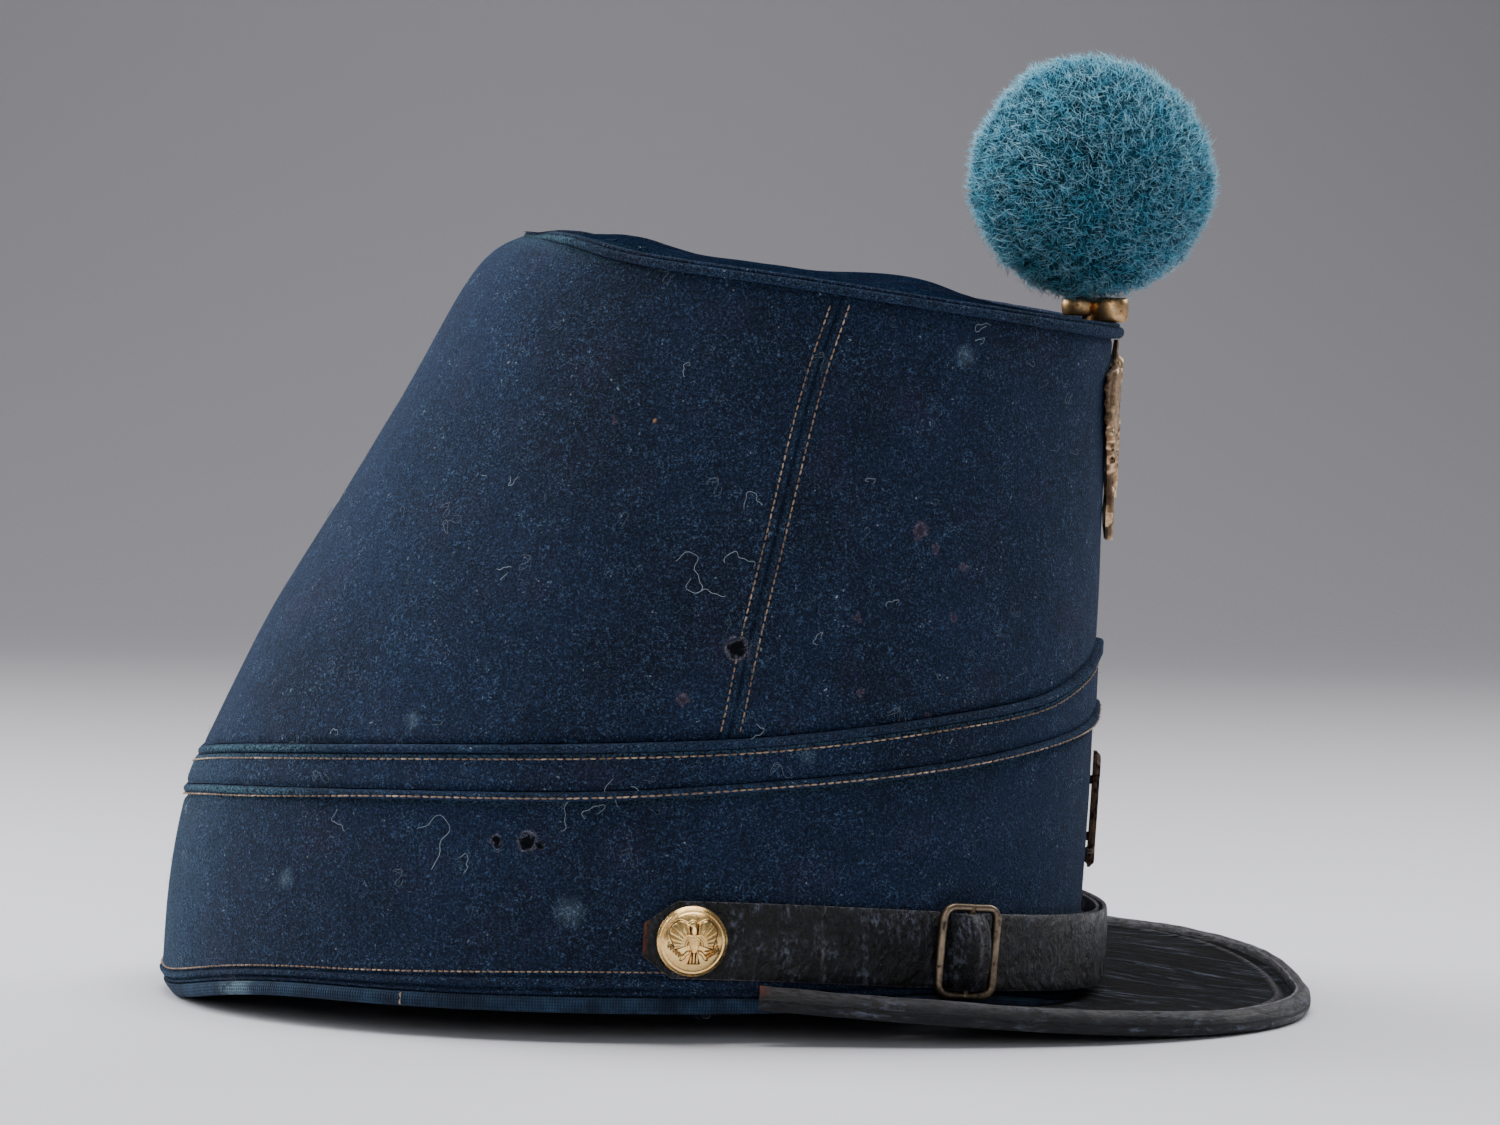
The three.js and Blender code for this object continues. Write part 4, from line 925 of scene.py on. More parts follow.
def crown_panel(name, front, looks, amount):
    length = FRONT_PANEL_LENGTH if front else BACK_PANEL_LENGTH
    share = ticks(length, 1.4, [(0, 4, 0.4), (length, 4, 0.4)])
    rows = ticks(PANEL_HEIGHT, 1.3, [(0, 1.5, 0.4), (HOLE_UP, 4, 0.35), (PANEL_HEIGHT, 3, 0.5)])
    s, r = np.meshgrid(share, rows, indexing="ij")
    height = lerp(64.0, 160.0, r)  # a first guess, which the loop corrects
    for _ in range(2):
        seam = seam_turn(height)
        turn = lerp(-seam, seam, s) if front else lerp(seam, 2 * math.pi - seam, s)
        low = upper_welt(turn) + WELT_HEIGHT / 2 + GAP / 3
        high = top_edge(turn) - TOP_WELT_HEIGHT / 2 - GAP / 3
        height = lerp(low, high, r)
    base = skin(turn, height)
    speed = skin_speed(turn, height)
    from_seam = speed * np.minimum(np.abs(turn - turn[:1]), np.abs(turn - turn[-1:]))
    under = high - height
    out = swells(base, amount)
    out += dents(base, HOLES_CROWN)
    out += edge_turn(under, 0.5, 0.9) + edge_turn(height - low, 0.5, 0.8)
    out += edge_turn(from_seam, 0.9, 0.5) + edge_turn(from_seam - SEAM_ROW, 0.32, 0.4)
    out += 0.35 * ridge(from_seam, 0.95, 0.45)
    # Small puckers hang from the top welt, deepest behind the seam.
    across = speed * turn
    pull = noise(np.stack([across / 7.5, 0 * across, 0 * across], -1), 1.0, 8)
    away = degrees_from_front(turn)
    deeper = 0.3 + 0.5 * smooth(away, 85, 105) * (1 - smooth(away, 130, 150))
    out += deeper * pull * np.exp(-(under / 9.0)) * smooth(under, 0.3, 2.5)
    rolled = back_tuck(turn, under)
    outer = skin(turn, height, out - rolled)
    pick = np.linspace(0, len(rows) - 1, 10).astype(int)
    inner = skin(turn[:, pick], height[:, pick], -WALL - rolled[:, pick])
    wear = 0.12 * ridge(from_seam, 1.0, 0.35) + 0.35 * smooth(away, 95, 150) * ridge(under, 0, 1.5)
    start = 1000.0 if front else -1000.0  # so that the weave doesn't run on from panel to panel
    return shell(name, outer, inner, False, looks, {"wear": wear}, start=start)


def binding_height(turn):
    """How high the base binding reaches: low under the peak, highest at the sides."""
    away = degrees_from_front(turn)
    return lerp(2.5, BINDING_SHOWS, smooth(away, 62, 78)) - BINDING_SINKS * smooth(away, 90, 140)


def hem_height(turn):
    """How far above the binding the hem's row of stitches runs."""
    return lerp(HEM_SIDE, HEM_BACK, smooth(degrees_from_front(turn), 88, 138))


def base_tuck(turn, above):
    """How far the worn base rolls inwards at the back, at a height above the rim."""
    return BASE_TUCK * smooth(degrees_from_front(turn), 145, 172) * (1 - smooth(above, 0, 6.5)) ** 1.5


def ring_wall(name, low, high, looks, amount, pitch, holes=(), tucks=(0.4, 0.4), proud=0.0):
    """A wall all round the body between two courses. With holes it is the head band with its hem."""
    near = [((math.radians(t) % (2 * math.pi)) * BAND_RADIUS, r + 1.5, 0.3) for t, _, r in holes]
    turns = ticks(2 * math.pi * BAND_RADIUS, pitch, near)[:-1] * 2 * math.pi
    tall = BAND_HEIGHT if holes else STRIP_HEIGHT
    near = [(3.8, 4.2, 0.3), (36.0, 4.0, 0.45)] if holes else [(0, 1.2, 0.4)]
    rows = ticks(tall, 1.3 * pitch, near + [(tall, 1.2, 0.4)])
    turn, r = np.meshgrid(turns, rows, indexing="ij")
    foot, head = low(turn), high(turn)
    height = lerp(foot, head, r)
    base = skin(turn, height)
    out = proud + swells(base, amount) + dents(base, holes)
    out += edge_turn(height - foot, tucks[0], 0.8) + edge_turn(head - height, tucks[1], 0.8)
    rolled = 0 * out
    if holes:
        # The hem is folded over the binding twice: two ridges with grooves beside them.
        above = (height - rim(turn) - binding_height(turn)) / hem_height(turn)
        out += 0.6 * smooth(above, 0.05, 0.11) * (1 - smooth(above, 0.2, 0.28))
        out += 0.75 * smooth(above, 0.38, 0.46) * (1 - smooth(above, 0.66, 0.76))
        for groove in (0.0, 0.32, 0.83):
            out -= 0.45 * ridge(above, groove, 0.055)
        rolled = base_tuck(turn, height - rim(turn))
    outer = skin(turn, height, out - rolled)
    pick = np.linspace(0, len(rows) - 1, 6).astype(int)
    inner = skin(turn[:, pick], height[:, pick], -WALL - rolled[:, pick])
    wear = 0.4 * ridge(head - height, 0, 0.9) + 0.25 * smooth(-np.cos(turn), 0.8, 1.0)
    return shell(name, outer, inner, True, looks, {"wear": wear})


def swept(name, course, section, looks, low_back, wear, rolled=None, pitch=1.0, uneven=0.08):
    """A bead along a height course round the body. section holds rows of out and up."""
    turns = np.linspace(0, 2 * math.pi, int(560 / pitch), endpoint=False)
    section = np.asarray(section, float)
    t = turns[:, None]
    level = course(t)
    base = skin(turns, course(turns))
    swell = 1 + uneven * noise(base, 5.0, 11)[:, None] + uneven * noise(base, 1.8, 12)[:, None]
    flatter = lerp(1.0, low_back, smooth(degrees_from_front(t), 120, 170))
    out = np.where(section[:, 0] > 0, section[:, 0] * swell * flatter, section[:, 0])
    tall = 1 + 0.4 * (swell - 1)
    if rolled is not None:
        front, behind = 1 - smooth(degrees_from_front(t), 8, 50), smooth(degrees_from_front(t), 130, 165)
        out = out + 1.1 * front * smooth(section[:, 0], 0.3, 0.8)
        out = out - 1.1 * behind * (section[:, 0] > 0) - rolled(t)
        tall = tall * (1 + 0.25 * front - 0.5 * behind)
        level = level - 0.3 * front - 1.1 * behind
    at = skin(t + 0 * out, level + 0 * out, out)
    at[..., 2] = level + section[:, 1] * tall
    rubbed = wear(t) * smooth(section[:, 0], 0.5, 1.6)
    return loft(name, at, True, looks, {"wear": rubbed})


class SHAKO_OT_cloth_body(bpy.types.Operator):
    """Make the crown's two panels, the strip between the welts, the head band and the crown tip"""

    bl_idname = "shako.cloth_body"
    bl_label = "Cloth body"

    def execute(self, context):
        colours = cloth_colours(context.scene)
        amount = context.scene.shako_cloth.swell / MM
        crown = broadcloth(
            "fulled_navy_broadcloth_crown", colours, BARE_SPOTS, RUST_SPOTS, HOLES_CROWN, SCUFFS
        )
        band = broadcloth("fulled_navy_broadcloth_band", colours, (), (), HOLES_BAND, SCUFFS)
        finish_piece(crown_panel("crown_cloth_front", True, [crown], amount), "navy_cloth", "crown_front")
        finish_piece(crown_panel("crown_cloth_back", False, [crown], amount), "navy_cloth", "crown_back")
        strip = ring_wall(
            "strip_cloth",
            lambda t: lower_welt(t) + WELT_HEIGHT / 2 + GAP / 3,
            lambda t: upper_welt(t) - WELT_HEIGHT / 2 - GAP / 3,
            [band],
            0.3 * amount,
            1.2,
            tucks=(0.5, 0.1),
            proud=STRIP_PROUD,
        )
        finish_piece(strip, "navy_cloth", "band_strip")
        head = ring_wall(
            "head_band_cloth",
            lambda t: rim(t) + BINDING_THICKNESS + GAP,
            lambda t: lower_welt(t) - WELT_HEIGHT / 2 - GAP / 3,
            [band],
            0.8 * amount,
            1.35,
            HOLES_BAND,
            tucks=(0.2, 0.7),
        )
        finish_piece(head, "navy_cloth", "head_band")
        # The tip is the same cloth with its colours darkened to six tenths as painted shade, and it is
        # duller, with less sheen and no shine.
        dark = tuple(tuple(0.6 * c for c in colour[:3]) + (1.0,) for colour in colours)
        self.tip([broadcloth("navy_broadcloth_tip_painted_shade", dark, sheen=0.03, shine=0.0)])
        return {"FINISHED"}

    def tip(self, looks):
        rings, columns = 34, 200
        middle, _, _ = outline(1.0)
        turn = np.linspace(0, 2 * math.pi, columns, endpoint=False)
        edge = skin(turn, top_edge(turn), -TOP_WELT_DEPTH - GAP / 2 - back_tuck(turn, 0))
        share = np.linspace(1, 0, rings, endpoint=False)[:, None] ** 0.9
        x = lerp(middle, edge[:, 0], share)
        y = edge[:, 1] * share
        hump = TIP_HUMP * ridge(x, TIP_HUMP_AT, TIP_HUMP_SPREAD) * (1 - share**6)
        behind = BACK_HUMP * ridge(x, BACK_HUMP_AT, BACK_HUMP_SPREAD) * smooth(x, -20, -6)
        hump = (hump + behind * (1 - share**8)) * (0.55 + 0.45 * smooth(y, -50, 50))
        flat = np.stack([x, y, 0 * x], -1)
        sag = 0.9 * noise(flat, 26, 21) + 0.35 * noise(flat, 9, 22)
        fold = 0.8 * ridge(x * 0.5 + y * 0.86 - 8 + 4 * noise(flat, 20, 23), 0, 2.2)
        lift = (sag - fold) * (1 - share**8) + hump
        slack = top_slack(turn) * smooth(share, 0.9, 1.0)
        z = top_plane(x) + lift + TIP_THICKNESS / 2 - 0.2 - slack
        z -= 0.8 * smooth(share, 0.965, 1.0)
        top = np.stack([x, y, z], -1)
        low = top - np.array([0, 0, TIP_THICKNESS])
        points = np.concatenate([top.reshape(-1, 3), low.reshape(-1, 3), [[middle, 0, 0], [middle, 0, 0]]])
        n = rings * columns
        points[-2, 2] = top[-1, :, 2].mean()
        points[-1, 2] = low[-1, :, 2].mean()
        ring = grid(rings, columns, wrap_columns=True)
        k = np.arange(columns)
        last = (rings - 1) * columns
        caps = [
            np.stack([last + k, np.full(columns, 2 * n), last + np.roll(k, -1)], -1),
            np.stack([n + last + np.roll(k, -1), np.full(columns, 2 * n + 1), n + last + k], -1),
        ]
        side = np.stack([k, np.roll(k, -1), n + np.roll(k, -1), n + k], -1)
        uv = points[:, :2]
        worn = np.broadcast_to(0.3 * smooth(share, 0.9, 1.0), (rings, columns)).ravel()
        marks = {"wear": np.concatenate([worn, worn, [0, 0]])}
        faces = [ring, ring[:, ::-1] + n, side] + caps
        piece = make("crown_tip_cloth", points, faces, looks, uv, marks=marks)
        finish_piece(piece, "navy_cloth", "crown_tip")


BAND_WELT_SECTION = [
    (-2.5, -1.05), (0.2, -1.05), (0.62, -0.95), (0.8, -0.78), (1.1, -0.62), (1.45, -0.38), (1.65, 0.0),
    (1.55, 0.42), (1.2, 0.72), (0.75, 0.88), (0.2, 0.95), (-2.5, 0.95),
]
TOP_WELT_SECTION = [
    (-1.2, -1.38), (0.1, -1.38), (0.75, -1.32), (1.25, -1.08), (1.6, -0.68), (1.72, -0.18), (1.55, 0.3),
    (1.2, 0.58), (0.72, 0.68), (0.84, 0.98), (0.7, 1.3), (0.3, 1.5), (-0.3, 1.45), (-1.2, 1.2),
]


class SHAKO_OT_welts(bpy.types.Operator):
    """Make the corded welts round the top edge and along both edges of the band"""

    bl_idname = "shako.welts"
    bl_label = "Welts"

    def execute(self, context):
        look = broadcloth("fulled_navy_broadcloth_welts", cloth_colours(context.scene))

        def rubbed(turn):
            away = degrees_from_front(turn)
            return 0.08 + 0.85 * smooth(away, 130, 145) * (1 - 0.5 * smooth(away, 160, 170))

        for name, course, section, low_back, node in (
            ("top_welt_cord", top_edge, TOP_WELT_SECTION, 0.35, "top_welt"),
            ("band_upper_welt_cord", upper_welt, BAND_WELT_SECTION, 0.45, "band_upper_welt"),
            ("band_lower_welt_cord", lower_welt, BAND_WELT_SECTION, 0.55, "band_lower_welt"),
        ):
            rolled = (lambda turn: back_tuck(turn, 0)) if node == "top_welt" else None
            finish_piece(swept(name, course, section, [look], low_back, rubbed, rolled), "navy_cloth", node)
        return {"FINISHED"}


class SHAKO_OT_base_binding(bpy.types.Operator):
    """Make the ribbed braid that is folded round the rim"""

    bl_idname = "shako.base_binding"
    bl_label = "Base binding"

    def execute(self, context):
        look = ribbed_braid("ribbed_wool_braid", "#162234", "#2a425c")
        turns = np.linspace(0, 2 * math.pi, 620, endpoint=False)[:, None]
        t = BINDING_THICKNESS
        inside = -WALL - GAP
        high = binding_height(turns)
        rows = []
        for out, share, rise in (
            (0.0, 1, 0.0), (0.5, 1, 0.05), (0.95, 0.97, 0), (1.3, 0.86, 0), (1.5, 0.7, 0), (1.58, 0.52, 0),
            (1.5, 0.34, 0), (1.3, 0.18, 0), (0.95, 0.06, 0), (0.5, 0, 0.05), (0.0, 0, 0.0),
            (-1.2, 0, 0.0), (inside, 0, 0.0), (inside - t + 0.3, 0, 0.15), (inside - t, 0, 0.8),
            (inside - t, 0, BINDING_INSIDE), (inside - 0.2, 0, BINDING_INSIDE),
            (inside, 0, BINDING_INSIDE - 0.6), (inside, 0, t + 0.05), (0.0, 0, t + 0.05),
        ):
            above = high * share + rise
            rows.append(skin(turns, rim(turns) + above, out - base_tuck(turns, above)))
        at = np.concatenate(rows, axis=1)
        swell = noise(at, 6.0, 31)[..., None]
        outward = frame_on(turns, rim(turns))[3]
        at = at + 0.1 * swell * outward
        at[..., 2] = np.maximum(at[..., 2], rim(turns))
        away = degrees_from_front(turns)
        wear = 0.45 * smooth(away, 138, 141) * (1 - smooth(away, 143, 147)) * (turns > math.pi)
        piece = loft("base_binding_braid", at, True, [look], {"wear": wear}, 50)
        finish_piece(piece, "ribbed_binding", "base_binding")
        return {"FINISHED"}


# The peak.
CORNER_TURN = math.acos(PEAK_START / (BASE_LENGTH / 2))
PEAK_HALF = float(skin(CORNER_TURN, PEAK_LIFT)[1]) + PEAK_MARGIN


def peak_edge(angle, inset):
    power = 2 / PEAK_SQUARENESS
    c, s = np.cos(angle), np.sin(angle)
    x = PEAK_START + (PEAK_REACH - PEAK_START - inset) * np.sign(c) * np.abs(c) ** power
    return x, (PEAK_HALF - inset) * np.sign(s) * np.abs(s) ** power


def peak_underside(x, y):
    ahead = (x - PEAK_START) / (PEAK_REACH - PEAK_START)
    slope = np.maximum(0, 1 - ahead / 0.92) ** 1.1
    across = y / PEAK_HALF
    curl = PEAK_TWIST * smooth(across, 0, 0.75) * smooth(ahead, 0, 0.5)
    return PEAK_LIFT * slope * (0.35 + 0.65 * across**2) + curl


class SHAKO_OT_peak(bpy.types.Operator):
    """Make the leather peak and the rolled binding along its edge"""

    bl_idname = "shako.peak"
    bl_label = "Peak"

    def execute(self, context):
        colours = leather_colours(context.scene)
        # The peak's enamel is a deeper black than the waxed strap.
        deeper = tuple(tuple(0.5 * c for c in colour[:3]) + (1.0,) for colour in colours)
        top = black_leather("enamelled_cowhide_peak", deeper, (1.0, 0.16, 1.0), 0.45, 300.0, 0.4, 0.1)
        roll_look = black_leather("rolled_cowhide_binding", colours, (0.35, 1.0, 1.0), 0.34, 420.0, 0.8)
        share = np.linspace(0.012, 0.988, 200)[:, None]
        row = np.concatenate([np.linspace(0, 0.86, 40), np.linspace(0.88, 1, 14)])[None, :]
        angle = lerp(-math.pi / 2, math.pi / 2, share)
        start = skin(lerp(-CORNER_TURN, CORNER_TURN, share), PEAK_LIFT, 2 * GAP + BINDING_THICKNESS)
        end_x, end_y = peak_edge(angle, ROLL_WIDTH + 0.1)
        x = lerp(start[..., 0], end_x, row)
        y = lerp(start[..., 1], end_y, row)
        bed = peak_underside(x, y) + row * (ROLL_HEIGHT - PEAK_THICKNESS) / 2
        flat = np.stack([x, y, 0 * x], -1)
        away = (1 - row) * np.hypot(end_x - start[..., 0], end_y - start[..., 1])
        lift = 0.35 * noise(flat, 30, 41) + 0.12 * noise(flat, 8, 42)
        lift = lift + 0.55 * ridge(away, 3.4, 0.7) - 0.35 * ridge(away, 1.9, 0.5)
        outer = np.stack([x, y, bed + PEAK_THICKNESS + lift], -1)
        pick = np.linspace(0, row.shape[1] - 1, 12).astype(int)
        inner = np.stack([x, y, np.maximum(bed, 0.35)], -1)[:, pick]
        # Both sides of the peak are rubbed paler: partly wear, partly painted highlight.
        side_rub_and_highlight = 0.45 * smooth(np.abs(y), 0.7 * PEAK_HALF, PEAK_HALF)
        rubbed = np.maximum(0.6 * ridge(away, 3.4, 0.6), side_rub_and_highlight)
        peak = shell("peak_leather", outer, inner, False, [top], {"raw": 0.0, "rubbed": rubbed}, 50)
        finish_piece(peak, "black_leather", "peak")

        steps, around = 340, 26
        angle = np.linspace(-math.pi / 2, math.pi / 2, steps)[:, None]
        a = np.linspace(0, 2 * math.pi, around, endpoint=False)[None, :]
        edge_x, edge_y = peak_edge(angle, ROLL_WIDTH / 2)
        level = peak_underside(edge_x, edge_y)
        half = ROLL_WIDTH / 2
        c, s = np.cos(a), np.sin(a)
        reach = half * np.sign(c) * np.abs(c) ** 0.8
        rise = ROLL_HEIGHT / 2 * (1 + np.sign(s) * np.abs(s) ** 0.9)
        base = np.stack([edge_x + 0 * a, edge_y + 0 * a, level + 0 * a], -1)
        swell = 0.14 * noise(base + rise[..., None], 4.0, 43) + 0.2 * noise(base, 16.0, 44)
        # A lip runs along the inner side of the roll's top, where its edge was turned down.
        lip = 0.3 * ridge(a, 2.2, 0.22) - 0.45 * ridge(a, 1.85, 0.12)
        x, y = peak_edge(angle, half - reach - swell * 0.5)
        z = np.maximum(level + rise + (swell + lip) * smooth(s, -0.2, 0.5), 0.0)
        at = np.stack([x, y, z], -1)
        ragged = np.abs(angle) > math.pi / 2 - 0.035
        at[..., 0] += np.where(ragged, 0.7 * noise(base + rise[..., None], 1.4, 45), 0)
        raw = smooth(PEAK_START - edge_x, -1.1, -0.3) * smooth(s, -0.1, 0.6)
        # The lip along the roll's top is rubbed pale, and the roll's upper half is paler: partly wear, partly
        # painted highlight.
        rubbed = 0.9 * ridge(a, 2.1, 0.25) + 0.25 * smooth(s, 0.2, 0.9) + 0 * angle
        roll = loft("peak_binding_roll", at, False, [roll_look], {"raw": raw, "rubbed": rubbed}, 55)
        finish_piece(roll, "black_leather", "peak_binding")
        return {"FINISHED"}


# The chin strap, laid along the band by arc length from the front.
ARC_TURNS = np.radians(np.arange(0, 130.5, 0.5))
ARC_LENGTHS = np.concatenate(
    [[0], np.cumsum(np.linalg.norm(np.diff(skin(ARC_TURNS, STRAP_SIDE_CENTRE), axis=0), axis=-1))]
)


def arc_at(turn):
    return np.sign(turn) * np.interp(np.abs(turn), ARC_TURNS, ARC_LENGTHS)


def turn_at(arc):
    return np.sign(arc) * np.interp(np.abs(arc), ARC_LENGTHS, ARC_TURNS)


def strap_centre(turn):
    share = (np.sin(turn) / math.sin(math.radians(BUTTON_TURN))) ** 2
    return lerp(STRAP_FRONT_CENTRE, STRAP_SIDE_CENTRE, share)


def on_band(arc, up, out):
    turn = turn_at(arc)
    return skin(turn, strap_centre(turn) + up, out)


def strap_loose(arc):
    share = np.minimum(1, np.abs(turn_at(arc)) / math.radians(STRAP_BOW_TURN))
    return STRAP_BOW * np.cos(share * math.pi / 2) ** 2


INNER_REST = GAP + INNER_STRAP / 2
OUTER_REST = GAP + OUTER_STRAP / 2
BUTTON_ARC = float(arc_at(math.radians(BUTTON_TURN)))
BUCKLE_ARC = -float(arc_at(math.radians(BUCKLE_TURN)))
FREE_ARC = float(arc_at(math.radians(STRAP_FREE_TURN)))
WIRE_SIDE = (BUCKLE_WIDTH - BUCKLE_WIRE) / 2


def inner_out(arc):
    return INNER_REST + strap_loose(arc)


def stacked_out(arc):
    return inner_out(arc) + INNER_STRAP / 2 + GAP + OUTER_STRAP / 2


BACK_WIRE_OUT = OUTER_REST + OUTER_STRAP / 2 + GAP + BUCKLE_WIRE / 2
FRONT_WIRE_OUT = float(stacked_out(BUCKLE_ARC + WIRE_SIDE)) + OUTER_STRAP / 2 + GAP + BUCKLE_WIRE / 2
BAR_OUT = (BACK_WIRE_OUT + FRONT_WIRE_OUT) / 2


def stretch(start, end, step, out):
    count = max(1, round(abs(end - start) / step))
    return [(arc, float(out(arc))) for arc in np.linspace(start, end, count + 1)]


def strap(name, path, thickness, tapers, looks, creases, pad_height=0.0):
    """A strap along a path of arc and out, with blunt pointed ends, a crowned face and soft edges."""
    path = np.array(path)
    run = np.concatenate([[0], np.cumsum(np.hypot(*np.diff(path, axis=0).T))])
    at = np.arange(0, run[-1], 0.6)
    at = np.append(at, run[-1])
    arc, out = read(run, path[:, 0], at), read(run, path[:, 1], at)
    blunt = STRAP_HEIGHT / 2.6
    far = np.full_like(at, 99)
    ends = [at if tapers[0] else far, run[-1] - at if tapers[1] else far]
    half = STRAP_HEIGHT / 2 * np.minimum(1, 0.42 + 0.58 * np.minimum(*ends) / blunt)
    v = np.sin(np.linspace(-math.pi / 2, math.pi / 2, 27))
    up = half[:, None] * v[None, :]
    here = on_band(arc[:, None] + 0 * up, up, out[:, None])
    tangent = np.gradient(here, axis=0)
    outward = np.stack([tangent[..., 1], -tangent[..., 0], 0 * tangent[..., 0]], -1)
    outward /= np.maximum(np.linalg.norm(outward, axis=-1, keepdims=True), 1e-9)
    face = thickness / 2 * (1 - 0.6 * np.abs(v) ** 9)
    relief = 0.1 * noise(here, 7.0, 51) + 0.05 * noise(here, 2.2, 52)
    split = 0 * up
    for crease_arc, depth, width in creases:
        far = arc[:, None] - (crease_arc + 0.9 * noise(here, 5.0, 53))
        relief = relief - depth * ridge(far, 0, width)
        split = np.maximum(split, smooth(depth, 0.3, 0.5) * ridge(far, -width, width))
    # Where it passes over the bar, it is blown up into a pad.
    pad = pad_height * np.exp(-(((arc[:, None] - BUCKLE_ARC - 0.6) / 3.2) ** 4))
    pad = pad * np.cos(v * math.pi / 2) ** 0.5
    relief = (relief + pad) * (1 - np.abs(v) ** 8)
    outer = here + outward * (face + relief)[..., None]
    inner = (here - outward * face[..., None])[:, ::3]
    raw = smooth(-np.minimum(*ends), -1.1, -0.2)[:, None] + 0 * up
    rubbed = np.maximum(0.8 * smooth(np.abs(v), 0.975, 1.0), 0.7 * split)
    return shell(name, outer, inner, False, looks, {"raw": raw, "rubbed": rubbed}, 45)


class SHAKO_OT_chin_strap(bpy.types.Operator):
    """Make the two lengths of the leather chin strap"""

    bl_idname = "shako.chin_strap"
    bl_label = "Chin strap"

    def execute(self, context):
        colours = leather_colours(context.scene)
        look = black_leather("waxed_cowhide_strap", colours, (1.0, 0.6, 1.0), 0.18, 800.0, 0.9, 0.36)
        over = BAR_OUT + BUCKLE_BAR / 2 + 2 * GAP + OUTER_STRAP / 2
        climb = WIRE_SIDE - BUCKLE_WIRE / 2 - OUTER_STRAP / 2 - GAP
        tip = -BUTTON_ARC - STRAP_OVERHANG
        stacked = float(stacked_out(BUCKLE_ARC))
        path = stretch(tip, BUCKLE_ARC - WIRE_SIDE - BUCKLE_WIRE, 6, lambda arc: OUTER_REST)
        path += [
            (BUCKLE_ARC - WIRE_SIDE, OUTER_REST),
            (BUCKLE_ARC - climb * 0.95, lerp(OUTER_REST, over, 0.12)),
            (BUCKLE_ARC - climb * 0.7, lerp(OUTER_REST, over, 0.75)),
            (BUCKLE_ARC - climb * 0.3, lerp(OUTER_REST, over, 0.97)),
            (BUCKLE_ARC, over),
            (BUCKLE_ARC + climb * 0.35, lerp(stacked, over, 0.9)),
            (BUCKLE_ARC + climb * 0.75, lerp(stacked, over, 0.25)),
        ]
        path += stretch(BUCKLE_ARC + WIRE_SIDE - 1, FREE_ARC, 6, stacked_out)
        crack = float(arc_at(math.radians(-64.6)))
        creases = [
            (crack, 0.5, 0.3), (crack - 9, 0.15, 0.5), (BUCKLE_ARC + 0.3, 0.6, 0.35), (crack + 14, 0.15, 0.4),
        ]
        outer = strap("chin_strap_outer_leather", path, OUTER_STRAP, (True, True), [look], creases, 1.9)
        finish_piece(outer, "black_leather", "chin_strap_outer")

        radius = BUCKLE_BAR / 2 + GAP + INNER_STRAP / 2
        foot = BAR_OUT - radius
        hook = [
            (BUCKLE_ARC + radius * math.cos(math.radians(a)), BAR_OUT + radius * math.sin(math.radians(a)))
            for a in (-174, -146, -118, -90)
        ]
        path = hook + [(BUCKLE_ARC + WIRE_SIDE / 2, lerp(float(inner_out(BUCKLE_ARC)), foot, 0.35))]
        path += stretch(BUCKLE_ARC + WIRE_SIDE, BUTTON_ARC + STRAP_OVERHANG, 6, inner_out)
        creases = [(20.0, 0.1, 0.5)]
        inner = strap("chin_strap_inner_leather", path, INNER_STRAP, (False, True), [look], creases)
        finish_piece(inner, "black_leather", "chin_strap_inner")
        return {"FINISHED"}


def on_buckle(x, y, z):
    """A place in the buckle's own plane, bent to lie over the strap."""
    tilt = lerp(BACK_WIRE_OUT, FRONT_WIRE_OUT, (x / WIRE_SIDE + 1) / 2)
    return on_band(BUCKLE_ARC + x + BUCKLE_LEAN * y, y, tilt + z)


